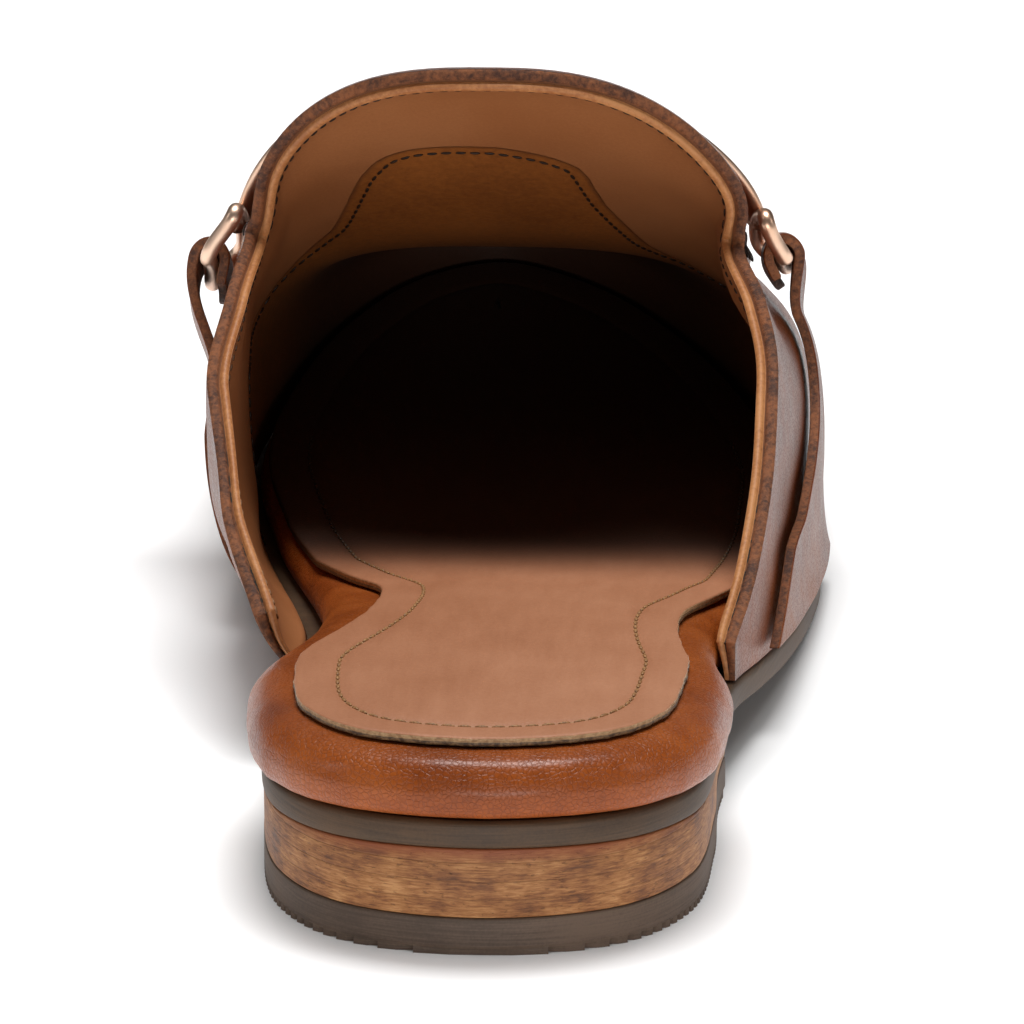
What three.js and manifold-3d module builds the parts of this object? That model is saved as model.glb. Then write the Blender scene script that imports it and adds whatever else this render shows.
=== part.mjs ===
// A backless loafer, or mule, for the right foot, in millimetres with +Z up.
// The toe points along +Y, the little-toe side faces +X, and the finished group stands on Z = 0
// with its bounding box centred on the Z axis.
//
// The shoe is worked out from its outsole: "along" is the distance from the back of the heel
// towards the toe, "across" is the distance from the shoe's long axis.
import * as THREE from 'three';
import { mergeVertices } from 'three/addons/utils/BufferGeometryUtils.js';
import Module from 'manifold-3d';

const wasm = await Module();
wasm.setup();

// Driving dimensions of the sole.
const soleLength = 258;
const ballWidth = 87;
const soleThickness = 4;
const heelRise = 15.6;
const toeSpring = 8;
const toeSpringStart = 198;
const heelBreast = 58;
const breastRadius = 70;
const liftThickness = 5.4;
const grooveDepth = 0.9;
const grooveWidth = 1.2;
const groovePitch = 3.2;
const fitGap = 0.3;

// Driving dimensions of the footbed and its sock.
const rimHeight = 9;
const forefootPad = 4.6;
const rimProud = 2;
const sockThickness = 1.3;
const sockInset = 6.4;

// Driving dimensions of the upper.
const wall = 3.2;
const skivedWall = 1.5;
const skiveHeight = 9;
const featherInset = 0.4;
const lateralRear = 74;
const medialRear = 78;
const throatAlong = 156;
const instepHeight = 88;
const collarEndHeight = 54;
const pinchDepth = { medial: 1.6, lateral: 5.6 };
const pinchSpread = 0.1;
const throatSeamRise = 0.34;
const toeSeamRise = 0.62;
const tuckAngle = 1.25;

// Driving dimensions of the side straps and the metal bar, which is a round wire at its ends.
const strapThickness = 1.5;
const strapGap = 0.7;
const strapLoopWidth = 12;
const loopRun = { lateral: 9, medial: 17 };
const loopEndLength = 3;
const strapHollow = 0.6;
const wireWidth = 2.2;
const wireThickness = 2.4;
const wireClearance = 0.5;
const ringDepth = 11;
const ringCorner = 2;
const barAlong = 166;
const barWidth = 7;

// The outsole's outline as shares of the sole's length and of the ball width, from the back of the
// heel round the little-toe side to the toe, and back along the big-toe side.
const outlineRows = [
  { along: 0, across: 0 },
  { along: 0.0213, across: 0.222 },
  { along: 0.0698, across: 0.329 },
  { along: 0.155, across: 0.362 },
  { along: 0.225, across: 0.365 },
  { along: 0.28, across: 0.385 },
  { along: 0.35, across: 0.43 },
  { along: 0.44, across: 0.475 },
  { along: 0.581, across: 0.515 },
  { along: 0.667, across: 0.503 },
  { along: 0.795, across: 0.436 },
  { along: 0.899, across: 0.31 },
  { along: 0.969, across: 0.14 },
  { along: 1, across: -0.057 },
  { along: 0.977, across: -0.236 },
  { along: 0.911, across: -0.379 },
  { along: 0.806, across: -0.466 },
  { along: 0.698, across: -0.486 },
  { along: 0.581, across: -0.436 },
  { along: 0.457, across: -0.363 },
  { along: 0.37, across: -0.334 },
  { along: 0.27, across: -0.346 },
  { along: 0.163, across: -0.366 },
  { along: 0.0698, across: -0.329 },
  { along: 0.0213, across: -0.222 },
];

// The underside of the outsole, its height as a share of the heel rise.
const undersideRows = [
  { along: 0, lift: 1 },
  { along: 0.116, lift: 0.85 },
  { along: 0.225, lift: 0.7 },
  { along: 0.29, lift: 0.6 },
  { along: 0.35, lift: 0.455 },
  { along: 0.43, lift: 0.25 },
  { along: 0.51, lift: 0.085 },
  { along: 0.59, lift: 0 },
  { along: 1, lift: 0 },
];

// The upper's sections. Each side swells past the feather line, and its widest line lies above the
// sole, both as shares of the ball width; a lower arch number makes a squarer arch above that line.
// The crown is a share of the instep's height, and the pinch draws the section in at the seam.
const medialRows = [
  { along: 0.24, medialSwell: 0.03, medialWide: 0.2, medialArch: 0.85 },
  { along: 0.31, medialSwell: 0.095, medialWide: 0.24, medialArch: 0.85 },
  { along: 0.39, medialSwell: 0.14, medialWide: 0.28, medialArch: 0.8 },
  { along: 0.47, medialSwell: 0.14, medialWide: 0.29, medialArch: 0.78 },
  { along: 0.54, medialSwell: 0.09, medialWide: 0.29, medialArch: 0.77 },
  { along: 0.605, medialSwell: 0.05, medialWide: 0.3, medialArch: 0.76 },
  { along: 0.65, medialSwell: 0.03, medialWide: 0.24, medialArch: 0.84 },
  { along: 0.71, medialSwell: 0.02, medialWide: 0.19, medialArch: 0.88 },
  { along: 0.79, medialSwell: 0.015, medialWide: 0.165, medialArch: 0.92 },
  { along: 0.88, medialSwell: 0.012, medialWide: 0.14, medialArch: 0.93 },
  { along: 0.99, medialSwell: 0.01, medialWide: 0.12, medialArch: 0.93 },
];
const lateralRows = [
  { along: 0.24, lateralSwell: 0, lateralWide: 0.14, lateralArch: 0.85 },
  { along: 0.31, lateralSwell: 0, lateralWide: 0.15, lateralArch: 0.85 },
  { along: 0.39, lateralSwell: -0.01, lateralWide: 0.16, lateralArch: 0.85 },
  { along: 0.47, lateralSwell: -0.02, lateralWide: 0.16, lateralArch: 0.85 },
  { along: 0.54, lateralSwell: -0.022, lateralWide: 0.15, lateralArch: 0.85 },
  { along: 0.605, lateralSwell: -0.02, lateralWide: 0.14, lateralArch: 0.86 },
  { along: 0.65, lateralSwell: -0.01, lateralWide: 0.14, lateralArch: 0.93 },
  { along: 0.71, lateralSwell: 0.01, lateralWide: 0.14, lateralArch: 0.92 },
  { along: 0.79, lateralSwell: 0.02, lateralWide: 0.14, lateralArch: 0.92 },
  { along: 0.88, lateralSwell: 0.015, lateralWide: 0.13, lateralArch: 0.93 },
  { along: 0.99, lateralSwell: 0.01, lateralWide: 0.12, lateralArch: 0.93 },
];
const middleRows = [
  { along: 0.24, crown: 0.89, pinch: 0 },
  { along: 0.31, crown: 0.92, pinch: 0 },
  { along: 0.39, crown: 0.93, pinch: 0 },
  { along: 0.47, crown: 0.94, pinch: 0 },
  { along: 0.54, crown: 0.95, pinch: 0.3 },
  { along: 0.605, crown: 0.79, pinch: 1 },
  { along: 0.65, crown: 0.67, pinch: 0.8 },
  { along: 0.71, crown: 0.545, pinch: 0.35 },
  { along: 0.79, crown: 0.445, pinch: 0.15 },
  { along: 0.88, crown: 0.38, pinch: 0 },
  { along: 0.99, crown: 0.34, pinch: 0 },
];

// Where a rib that starts on the feather line reaches the crown, both as shares of the length.
const crownRows = [
  { feather: 0.24, along: 0.22 },
  { feather: 0.4, along: 0.36 },
  { feather: 0.605, along: 0.54 },
  { feather: 0.7, along: 0.64 },
  { feather: 0.8, along: 0.73 },
  { feather: 0.9, along: 0.81 },
  { feather: 1, along: 0.88 },
];

// The crown's place across the shoe, as a share of the ball width.
const crownPathRows = [
  { along: 0.19, across: -0.02 },
  { along: 0.5, across: -0.02 },
  { along: 0.7, across: -0.05 },
  { along: 1, across: -0.055 },
];

// The collar seen from the side: its height above the floor as a share of the collar's end height.
const collarRows = [
  { along: 0.27, height: 0.33 },
  { along: 0.31, height: 0.4 },
  { along: 0.35, height: 0.49 },
  { along: 0.4, height: 0.61 },
  { along: 0.45, height: 0.735 },
  { along: 0.5, height: 0.85 },
  { along: 0.55, height: 0.95 },
  { along: 0.6, height: 1 },
];

// How far the sock's edge is set in from the footbed's edge, as a share of its inset at the heel.
const sockRows = [
  { along: 0.1, lateral: 1, medial: 1 },
  { along: 0.2, lateral: 0.95, medial: 1.1 },
  { along: 0.33, lateral: 0.6, medial: 1.35 },
  { along: 0.37, lateral: 0.45, medial: 1.3 },
  { along: 0.42, lateral: 0.22, medial: 0.7 },
  { along: 0.48, lateral: 0.2, medial: 0.2 },
];

// The padded rim seen in section: how far it draws in from its widest line, as a share of the rim's
// height, and how high that point lies, as a share of the same height.
const rimProfile = [
  { drawIn: 0.3, height: 0 },
  { drawIn: 0.1, height: 0.08 },
  { drawIn: 0.02, height: 0.24 },
  { drawIn: 0, height: 0.42 },
  { drawIn: 0.05, height: 0.62 },
  { drawIn: 0.16, height: 0.79 },
  { drawIn: 0.34, height: 0.92 },
  { drawIn: 0.58, height: 0.985 },
  { drawIn: 0.75, height: 1 },
];

// A smooth curve through a table, which never overshoots its rows.
function curveOf(rows, input, output) {
  const x = rows.map((row) => row[input]);
  const y = rows.map((row) => row[output]);
  const slope = x.slice(1).map((value, i) => (y[i + 1] - y[i]) / (value - x[i]));
  const tangent = x.map((_, i) => {
    if (i === 0) return slope[0];
    if (i === x.length - 1) return slope[i - 1];
    if (slope[i - 1] * slope[i] <= 0) return 0;
    return (2 * slope[i - 1] * slope[i]) / (slope[i - 1] + slope[i]);
  });
  return (value) => {
    if (value <= x[0]) return y[0];
    if (value >= x.at(-1)) return y.at(-1);
    const i = x.findIndex((end, n) => n > 0 && value <= end) - 1;
    const span = x[i + 1] - x[i];
    const t = (value - x[i]) / span;
    const rest = 1 - t;
    return (
      y[i] * rest * rest * (1 + 2 * t) +
      y[i + 1] * t * t * (3 - 2 * t) +
      span * t * rest * (tangent[i] * rest - tangent[i + 1] * t)
    );
  };
}

const clamp = THREE.MathUtils.clamp;
const lerp = THREE.MathUtils.lerp;
const smoothstep = THREE.MathUtils.smoothstep;

const liftAt = curveOf(undersideRows, 'along', 'lift');

function underside(along) {
  const spring = clamp((along - toeSpringStart) / (soleLength - toeSpringStart), 0, 1);
  return heelRise * liftAt(along / soleLength) + toeSpring * spring ** 2;
}

function soleTop(along) {
  return underside(along) + soleThickness;
}

// An outline keeps its two sides, each a list of plan points from the back to the front.
const outlineSamples = 600;

function outlineFrom(points) {
  const back = points.reduce((best, p, i) => (p.y < points[best].y ? i : best), 0);
  const turned = [...points.slice(back), ...points.slice(0, back)];
  const front = turned.reduce((best, p, i) => (p.y > turned[best].y ? i : best), 0);
  return {
    points: turned,
    lateral: turned.slice(0, front + 1),
    medial: [turned[0], ...turned.slice(front).reverse()],
    back: turned[0].y,
    front: turned[front].y,
  };
}

const baseCurve = new THREE.CatmullRomCurve3(
  outlineRows.map((row) => new THREE.Vector3(row.across * ballWidth, row.along * soleLength, 0)),
  true,
  'centripetal',
);
const base = outlineFrom(
  baseCurve.getPoints(outlineSamples).slice(0, -1).map((p) => new THREE.Vector2(p.x, p.y)),
);

// The outward direction of a closed outline at one of its points.
function outwardAt(points, i) {
  const next = points[(i + 1) % points.length];
  const last = points[(i + points.length - 1) % points.length];
  return new THREE.Vector2(next.y - last.y, last.x - next.x).normalize();
}

// Moves an outline outwards by distance(along, side), inwards where that is negative.
function offsetOutline(outline, distance) {
  const side = (p, i) => (i < outline.lateral.length ? 'lateral' : 'medial');
  return outlineFrom(
    outline.points.map((p, i) =>
      p.clone().addScaledVector(outwardAt(outline.points, i), distance(p.y, side(p, i))),
    ),
  );
}

// The plan point of one side of an outline at a given distance along the shoe, and the outward
// direction there.
function sideFrame(outline, side, along) {
  const points = outline[side];
  const count = outline.points.length;
  let low = 0;
  let high = points.length - 1;
  while (high - low > 1) {
    const middle = (low + high) >> 1;
    if (points[middle].y <= along) low = middle;
    else high = middle;
  }
  const t = clamp((along - points[low].y) / (points[high].y - points[low].y), 0, 1);
  const outward = (i) => outwardAt(outline.points, side === 'lateral' ? i : (count - i) % count);
  return {
    point: points[low].clone().lerp(points[high], t),
    outward: outward(low).lerp(outward(high), t).normalize(),
  };
}

function sidePoint(outline, side, along) {
  return sideFrame(outline, side, along).point;
}

// A ring of points round an outline: the back, the lateral side, the front and the medial side,
// with both sides sampled at the same distances along.
function ringOf(outline, stations, height) {
  const at = (share) => lerp(outline.back, outline.front, share);
  const shares = Array.from({ length: stations + 1 }, (_, i) => (1 - Math.cos((Math.PI * i) / stations)) / 2);
  const lateral = shares.map((share) => sidePoint(outline, 'lateral', at(share)));
  const medial = shares.slice(1, -1).map((share) => sidePoint(outline, 'medial', at(share)));
  return [...lateral, ...medial.reverse()].map((p) => new THREE.Vector3(p.x, p.y, height(p.y, p.x)));
}

// Collects triangles, and turns them into one closed geometry.
class Skin {
  constructor() {
    this.corners = [];
  }

  triangle(a, b, c) {
    this.corners.push(a, b, c);
  }

  quad(a, b, c, d) {
    this.triangle(a, b, c);
    this.triangle(a, c, d);
  }

  // Faces between two rows of points, which face the viewer when the rows run anticlockwise.
  band(lower, upper, closed) {
    const count = closed ? lower.length : lower.length - 1;
    for (let i = 0; i < count; i += 1) {
      const next = (i + 1) % lower.length;
      this.quad(lower[i], lower[next], upper[next], upper[i]);
    }
  }

  geometry() {
    const open = new THREE.BufferGeometry().setFromPoints(this.corners);
    const merged = mergeVertices(open, 1e-3);
    const index = merged.index.array;
    const kept = [];
    for (let i = 0; i < index.length; i += 3) {
      const [a, b, c] = [index[i], index[i + 1], index[i + 2]];
      if (a !== b && b !== c && a !== c) kept.push(a, b, c);
    }
    merged.setIndex(kept);
    return merged;
  }
}

// A lid or a floor over a ring, with rungs from side to side that follow height(along, across).
function addCap(skin, ring, crossings, height, faceUp) {
  const stations = ring.length / 2;
  const rungs = [];
  for (let i = 1; i < stations; i += 1) {
    const lateral = ring[i];
    const medial = ring[ring.length - i];
    rungs.push(
      Array.from({ length: crossings + 1 }, (_, j) => {
        if (j === 0) return lateral;
        if (j === crossings) return medial;
        const p = lateral.clone().lerp(medial, j / crossings);
        return p.setZ(height(p.y, p.x));
      }),
    );
  }
  const face = (a, b, c) => (faceUp ? skin.triangle(a, b, c) : skin.triangle(a, c, b));
  for (let j = 0; j < crossings; j += 1) {
    face(ring[0], rungs[0][j], rungs[0][j + 1]);
    face(rungs.at(-1)[j], ring[stations], rungs.at(-1)[j + 1]);
    for (let i = 0; i + 1 < rungs.length; i += 1) {
      face(rungs[i][j], rungs[i + 1][j], rungs[i + 1][j + 1]);
      face(rungs[i][j], rungs[i + 1][j + 1], rungs[i][j + 1]);
    }
  }
}

// A closed body from a stack of rings, the lowest first.
function stackOf(rings, crossings, floorHeight, lidHeight) {
  const skin = new Skin();
  for (let i = 0; i + 1 < rings.length; i += 1) skin.band(rings[i], rings[i + 1], true);
  addCap(skin, rings[0], crossings, floorHeight, false);
  addCap(skin, rings.at(-1), crossings, lidHeight, true);
  return skin.geometry();
}

function solidOf(geometry) {
  return new wasm.Manifold(
    new wasm.Mesh({
      numProp: 3,
      vertProperties: new Float32Array(geometry.attributes.position.array),
      triVerts: new Uint32Array(geometry.index.array),
    }),
  );
}

function geometryOf(solid) {
  const mesh = solid.getMesh();
  return new THREE.BufferGeometry()
    .setAttribute('position', new THREE.BufferAttribute(new Float32Array(mesh.vertProperties), 3))
    .setIndex(new THREE.BufferAttribute(new Uint32Array(mesh.triVerts), 1));
}

// A plain three.js shape, such as a box, as a solid for a boolean cut or join.
function toolOf(shape, x, y, z) {
  const plain = shape.clone().translate(x, y, z);
  plain.deleteAttribute('normal');
  plain.deleteAttribute('uv');
  return solidOf(mergeVertices(plain, 1e-4));
}

// The outsole is one rubber piece from heel to toe, with softened edges.
function outsole() {
  const stations = 40;
  const edge = 0.8;
  const inner = offsetOutline(base, () => -edge);
  const bottomEdge = ringOf(inner, stations, underside);
  const lower = ringOf(base, stations, (along) => underside(along) + edge);
  const upper = ringOf(base, stations, (along) => soleTop(along) - edge);
  const topEdge = ringOf(inner, stations, soleTop);
  return stackOf([bottomEdge, lower, upper, topEdge], 2, underside, soleTop);
}

// The heel's plan is the outsole's, cut off by a hollow breast.
function heelColumn(low, high, stations) {
  const plan = offsetOutline(base, () => -fitGap);
  const rings = [ringOf(plan, stations, low), ringOf(plan, stations, high)];
  const column = solidOf(stackOf(rings, 2, low, high));
  const cutterDepth = 2 * soleLength;
  const cutterHeight = 4 * (heelRise + soleThickness);
  const cutter = new THREE.CylinderGeometry(breastRadius, breastRadius, cutterHeight, 96).rotateX(Math.PI / 2);
  const breast = toolOf(cutter, 0, heelBreast + breastRadius, 0);
  const front = toolOf(
    new THREE.BoxGeometry(cutterDepth, cutterDepth, cutterHeight),
    0,
    heelBreast + breastRadius / 4 + cutterDepth / 2,
    0,
  );
  return column.subtract(breast).subtract(front);
}

function heelBlock() {
  return geometryOf(heelColumn(() => liftThickness + fitGap, (along) => underside(along) - fitGap, 40));
}

// The top lift's ribs run from side to side, and stay proud of the grooves between them.
function topLift() {
  let lift = heelColumn(() => 0, () => liftThickness, 40);
  const grooves = Math.floor((heelBreast + breastRadius / 4) / groovePitch);
  for (let i = 0; i < grooves; i += 1) {
    const bar = new THREE.BoxGeometry(ballWidth, grooveWidth, grooveDepth * 2);
    lift = lift.subtract(toolOf(bar, 0, groovePitch * (i + 0.7), 0));
  }
  return geometryOf(lift);
}

const section = Object.fromEntries(
  [medialRows, lateralRows, middleRows].flatMap((rows) =>
    Object.keys(rows[0]).slice(1).map((name) => [name, curveOf(rows, 'along', name)]),
  ),
);

// The footbed: a padded board whose wrapped rim stands proud round the heel and runs on inside
// the upper, clear of its wall.
const rimBlendStart = 44;
const rimBlendEnd = 78;

function insideInset(along, side) {
  const leanIn = Math.max(-section[side + 'Swell'](along / soleLength), 0) * ballWidth;
  return featherInset + leanIn + lerp(skivedWall, wall, 0.6) + fitGap;
}

function rimOffset(along, side) {
  return lerp(rimProud, -insideInset(along, side), smoothstep(along, rimBlendStart, rimBlendEnd));
}

function rimHeightAt(along) {
  return lerp(rimHeight, forefootPad, smoothstep(along, heelBreast, throatAlong));
}

function footbedTop(along) {
  return soleTop(along) + fitGap + rimHeightAt(along);
}

const footbedOutline = offsetOutline(base, rimOffset);

function footbed() {
  const stations = 30;
  const rings = rimProfile.map((row) => {
    const outline = offsetOutline(footbedOutline, (along) => -row.drawIn * rimHeightAt(along));
    return ringOf(outline, stations, (along) => soleTop(along) + fitGap + row.height * rimHeightAt(along));
  });
  return stackOf(rings, 2, (along) => soleTop(along) + fitGap, footbedTop);
}

// The sock's edge is set in from the rim, and widens once it is inside the upper.
const sockInsetOf = {
  lateral: curveOf(sockRows, 'along', 'lateral'),
  medial: curveOf(sockRows, 'along', 'medial'),
};

function sockOutline() {
  return offsetOutline(footbedOutline, (along, side) => -sockInset * sockInsetOf[side](along / soleLength));
}

function sock() {
  const outline = sockOutline();
  const low = (along) => footbedTop(along) + fitGap;
  const high = (along) => low(along) + sockThickness;
  const stations = 36;
  return stackOf([ringOf(outline, stations, low), ringOf(outline, stations, high)], 2, low, high);
}

// The upper's outer surface. A rib starts on the feather line, swells out to the widest line and
// turns over to the crown. "rise" runs from -1 at the feather line, through 0 at the widest line,
// to 1 at the crown. "hollow" is the share of the seam's pinch that is kept.
const feather = offsetOutline(base, () => -featherInset);
const crownAlongOf = curveOf(crownRows, 'feather', 'along');
const crownAcrossOf = curveOf(crownPathRows, 'along', 'across');
const collarHeightOf = curveOf(collarRows, 'along', 'height');

function pinchRise(along) {
  return lerp(throatSeamRise, toeSeamRise, smoothstep(along, throatAlong, soleLength));
}

function ribPoint(side, along, rise, hollow = 1) {
  const share = along / soleLength;
  const { point: foot, outward } = sideFrame(feather, side, along);
  const swell = section[side + 'Swell'](share) * ballWidth;
  const wide = foot.clone().addScaledVector(outward, swell);
  const footHeight = soleTop(along) + fitGap;
  const wideHeight = footHeight + section[side + 'Wide'](share) * ballWidth;
  if (rise <= 0) {
    const angle = -rise * tuckAngle;
    const drawn = (swell * (1 - Math.cos(angle))) / (1 - Math.cos(tuckAngle));
    const p = wide.addScaledVector(outward, -drawn);
    const drop = ((wideHeight - footHeight) * Math.sin(angle)) / Math.sin(tuckAngle);
    return new THREE.Vector3(p.x, p.y, wideHeight - drop);
  }
  const crownShare = crownAlongOf(share);
  const crown = new THREE.Vector3(
    crownAcrossOf(crownShare) * ballWidth,
    crownShare * soleLength,
    section.crown(crownShare) * instepHeight,
  );
  const arch = section[side + 'Arch'](share);
  const angle = (rise ** (1 / arch) * Math.PI) / 2;
  const outwards = Math.cos(angle) ** arch;
  const upwards = Math.sin(angle) ** arch;
  const fromSeam = (rise - pinchRise(along)) / pinchSpread;
  const pinch = hollow * section.pinch(share) * pinchDepth[side] * Math.exp(-(fromSeam ** 2));
  const p = new THREE.Vector2(lerp(crown.x, wide.x, outwards), lerp(crown.y, wide.y, outwards ** 2));
  p.addScaledVector(outward, -pinch);
  return new THREE.Vector3(p.x, p.y, lerp(wideHeight, crown.z, upwards));
}

// How far up a rib the collar cuts it.
function collarRise(side, along) {
  let low = -1;
  let high = 1;
  for (let i = 0; i < 40; i += 1) {
    const middle = (low + high) / 2;
    const p = ribPoint(side, along, middle);
    if (p.z < collarHeightOf(p.y / soleLength) * collarEndHeight) low = middle;
    else high = middle;
  }
  return low;
}

// The apron seam runs from the end of the collar forwards and round the toe.
const throatRise = { lateral: collarRise('lateral', throatAlong), medial: collarRise('medial', throatAlong) };

function seamRise(side, along) {
  if (along <= throatAlong) return collarRise(side, along);
  return lerp(throatRise[side], toeSeamRise, smoothstep(along, throatAlong, feather.front));
}

const quarterSteps = 12;
const throatSteps = 14;
const sideSteps = 13;
const apronSteps = 9;

// The stations along one side of the upper: close together round the toe.
function upperStations(side) {
  const rear = side === 'lateral' ? lateralRear : medialRear;
  const quarter = Array.from({ length: quarterSteps }, (_, i) => lerp(rear, throatAlong, i / quarterSteps));
  const vamp = Array.from({ length: throatSteps + 1 }, (_, i) =>
    lerp(throatAlong, feather.front, Math.sin((Math.PI / 2) * (i / throatSteps))),
  );
  return [...quarter, ...vamp];
}

// Gives an open sheet a thickness: thickness(position) is measured inwards, against the normals.
function thicken(geometry, thickness, settle) {
  geometry.computeVertexNormals();
  const position = geometry.attributes.position;
  const normal = geometry.attributes.normal;
  const index = geometry.index.array;
  const outer = [];
  const inner = [];
  for (let i = 0; i < position.count; i += 1) {
    const p = new THREE.Vector3().fromBufferAttribute(position, i);
    const n = new THREE.Vector3().fromBufferAttribute(normal, i);
    outer.push(p);
    inner.push(settle(p, p.clone().addScaledVector(n, -thickness(p))));
  }
  const skin = new Skin();
  const edges = new Map();
  for (let i = 0; i < index.length; i += 3) {
    const face = [index[i], index[i + 1], index[i + 2]];
    skin.triangle(...face.map((v) => outer[v]));
    skin.triangle(...[...face].reverse().map((v) => inner[v]));
    face.forEach((v, n) => edges.set(`${v},${face[(n + 1) % 3]}`, [v, face[(n + 1) % 3]]));
  }
  for (const [a, b] of edges.values()) {
    if (!edges.has(`${b},${a}`)) skin.quad(outer[a], inner[a], inner[b], outer[b]);
  }
  return skin.geometry();
}

// One side of the upper as rows of points, one row a station, from the feather line to the crown.
function upperRows(side) {
  return upperStations(side).map((along) => {
    const seam = seamRise(side, along);
    const low = Array.from({ length: sideSteps + 1 }, (_, j) =>
      ribPoint(side, along, lerp(seam, -1, (1 - j / sideSteps) ** 1.5)),
    );
    if (along < throatAlong) return low;
    const high = Array.from({ length: apronSteps }, (_, j) =>
      ribPoint(side, along, lerp(seam, 1, (j + 1) / apronSteps)),
    );
    return [...low, ...high];
  });
}

function upperSheet() {
  const skin = new Skin();
  for (const side of ['lateral', 'medial']) {
    const rows = upperRows(side);
    for (let i = 0; i + 1 < rows.length; i += 1) {
      const count = Math.min(rows[i].length, rows[i + 1].length);
      for (let j = 0; j + 1 < count; j += 1) {
        const corners = [rows[i][j], rows[i + 1][j], rows[i + 1][j + 1], rows[i][j + 1]];
        if (side === 'medial') corners.reverse();
        skin.quad(...corners);
      }
    }
  }
  return skin.geometry();
}

function upper() {
  const onSole = (p, q) => (p.z < soleTop(p.y) + fitGap + 0.01 ? q.setZ(p.z) : q);
  const thickness = (p) => lerp(skivedWall, wall, smoothstep(p.z - soleTop(p.y), 0, skiveHeight));
  return thicken(upperSheet(), thickness, onSole);
}

// A point that floats above the upper's outer surface, on a rib of either side. What lies there
// spans the hollow at the seam, and keeps only a share of it.
function abovePoint(side, along, rise, height) {
  const step = 0.01;
  const at = (forwards, upwards) => ribPoint(side, along + forwards, rise + upwards, strapHollow);
  const across = at(0, step).sub(at(0, -step));
  const normal = at(1, 0).sub(at(-1, 0)).cross(across).normalize();
  if (side === 'medial') normal.negate();
  return at(0, 0).addScaledVector(normal, height);
}

// The wire's outer limb lies in the strap's fold, a strap's thickness above the upper.
const limbRise = { lateral: 0.335, medial: 0.235 };
const limbHeight = strapGap + strapThickness + wireClearance + wireWidth / 2;
const barHeight = 2 * fitGap + wireThickness / 2;
const ringLength = strapLoopWidth + 6 * wireClearance + 2 * wireWidth;

function risePerLength(side) {
  const step = 0.02;
  const rise = limbRise[side];
  return (2 * step) / ribPoint(side, barAlong, rise - step).distanceTo(ribPoint(side, barAlong, rise + step));
}

// The strap's outline on the upper: how far forward its rear and front edges lie for each rise.
const strapRows = [
  { rise: -1, lateralRear: 0.345, medialRear: 0.5, front: 0.605 },
  { rise: -0.5, lateralRear: 0.385, medialRear: 0.53, front: 0.612 },
  { rise: 0, lateralRear: 0.45, medialRear: 0.56, front: 0.622 },
  { rise: 0.16, lateralRear: 0.53, medialRear: 0.59, front: 0.635 },
];
const strapRearOf = {
  lateral: curveOf(strapRows, 'rise', 'lateralRear'),
  medial: curveOf(strapRows, 'rise', 'medialRear'),
};
const strapFrontOf = curveOf(strapRows, 'rise', 'front');

// The middle line of the strap's leather at one place across its width: from the sole up, out
// over the wire, and down again behind it, where the end is tucked in. The ribs lean back from the
// wire, so the fold's height is measured square to the wire.
const strapLowRise = -0.85;
const climbSteps = 14;
const foldSteps = 7;
const tuckSteps = 4;

function strapLine(side, share) {
  const perLength = risePerLength(side);
  const layer = strapGap + strapThickness / 2;
  const radius = (wireWidth + strapThickness) / 2 + wireClearance;
  const limb = limbRise[side];
  const foldStart = limb - loopRun[side] * perLength;
  const tuckEnd = limb - loopEndLength * perLength;
  const point = (rise, height) => {
    const wide = lerp(strapRearOf[side](rise), strapFrontOf(rise), share) * soleLength;
    const slim = barAlong + strapLoopWidth * (share - 0.5);
    return abovePoint(side, lerp(wide, slim, smoothstep(rise, -0.1, foldStart)), rise, height);
  };
  const seat = point(limb, layer + radius);
  const away = point(limb, layer + radius + 1).sub(seat);
  const wire = abovePoint(side, barAlong + 1, limb, layer).sub(abovePoint(side, barAlong - 1, limb, layer));
  const up = point(limb + perLength, layer + radius).sub(seat).normalize();
  up.divideScalar(Math.sin(up.angleTo(wire)));
  const climb = Array.from({ length: climbSteps + 1 }, (_, i) => {
    const rise = lerp(limb, strapLowRise, (1 - i / climbSteps) ** 1.6);
    return point(rise, lerp(layer, layer + 2 * radius, smoothstep(rise, foldStart, limb)));
  });
  const fold = Array.from({ length: foldSteps }, (_, i) => {
    const angle = (Math.PI * (i + 1)) / foldSteps;
    return seat
      .clone()
      .addScaledVector(up, radius * Math.sin(angle))
      .addScaledVector(away, radius * Math.cos(angle));
  });
  const tuck = Array.from({ length: tuckSteps }, (_, i) =>
    point(lerp(limb, tuckEnd, (i + 1) / tuckSteps), layer),
  );
  return [...climb, ...fold, ...tuck];
}

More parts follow.
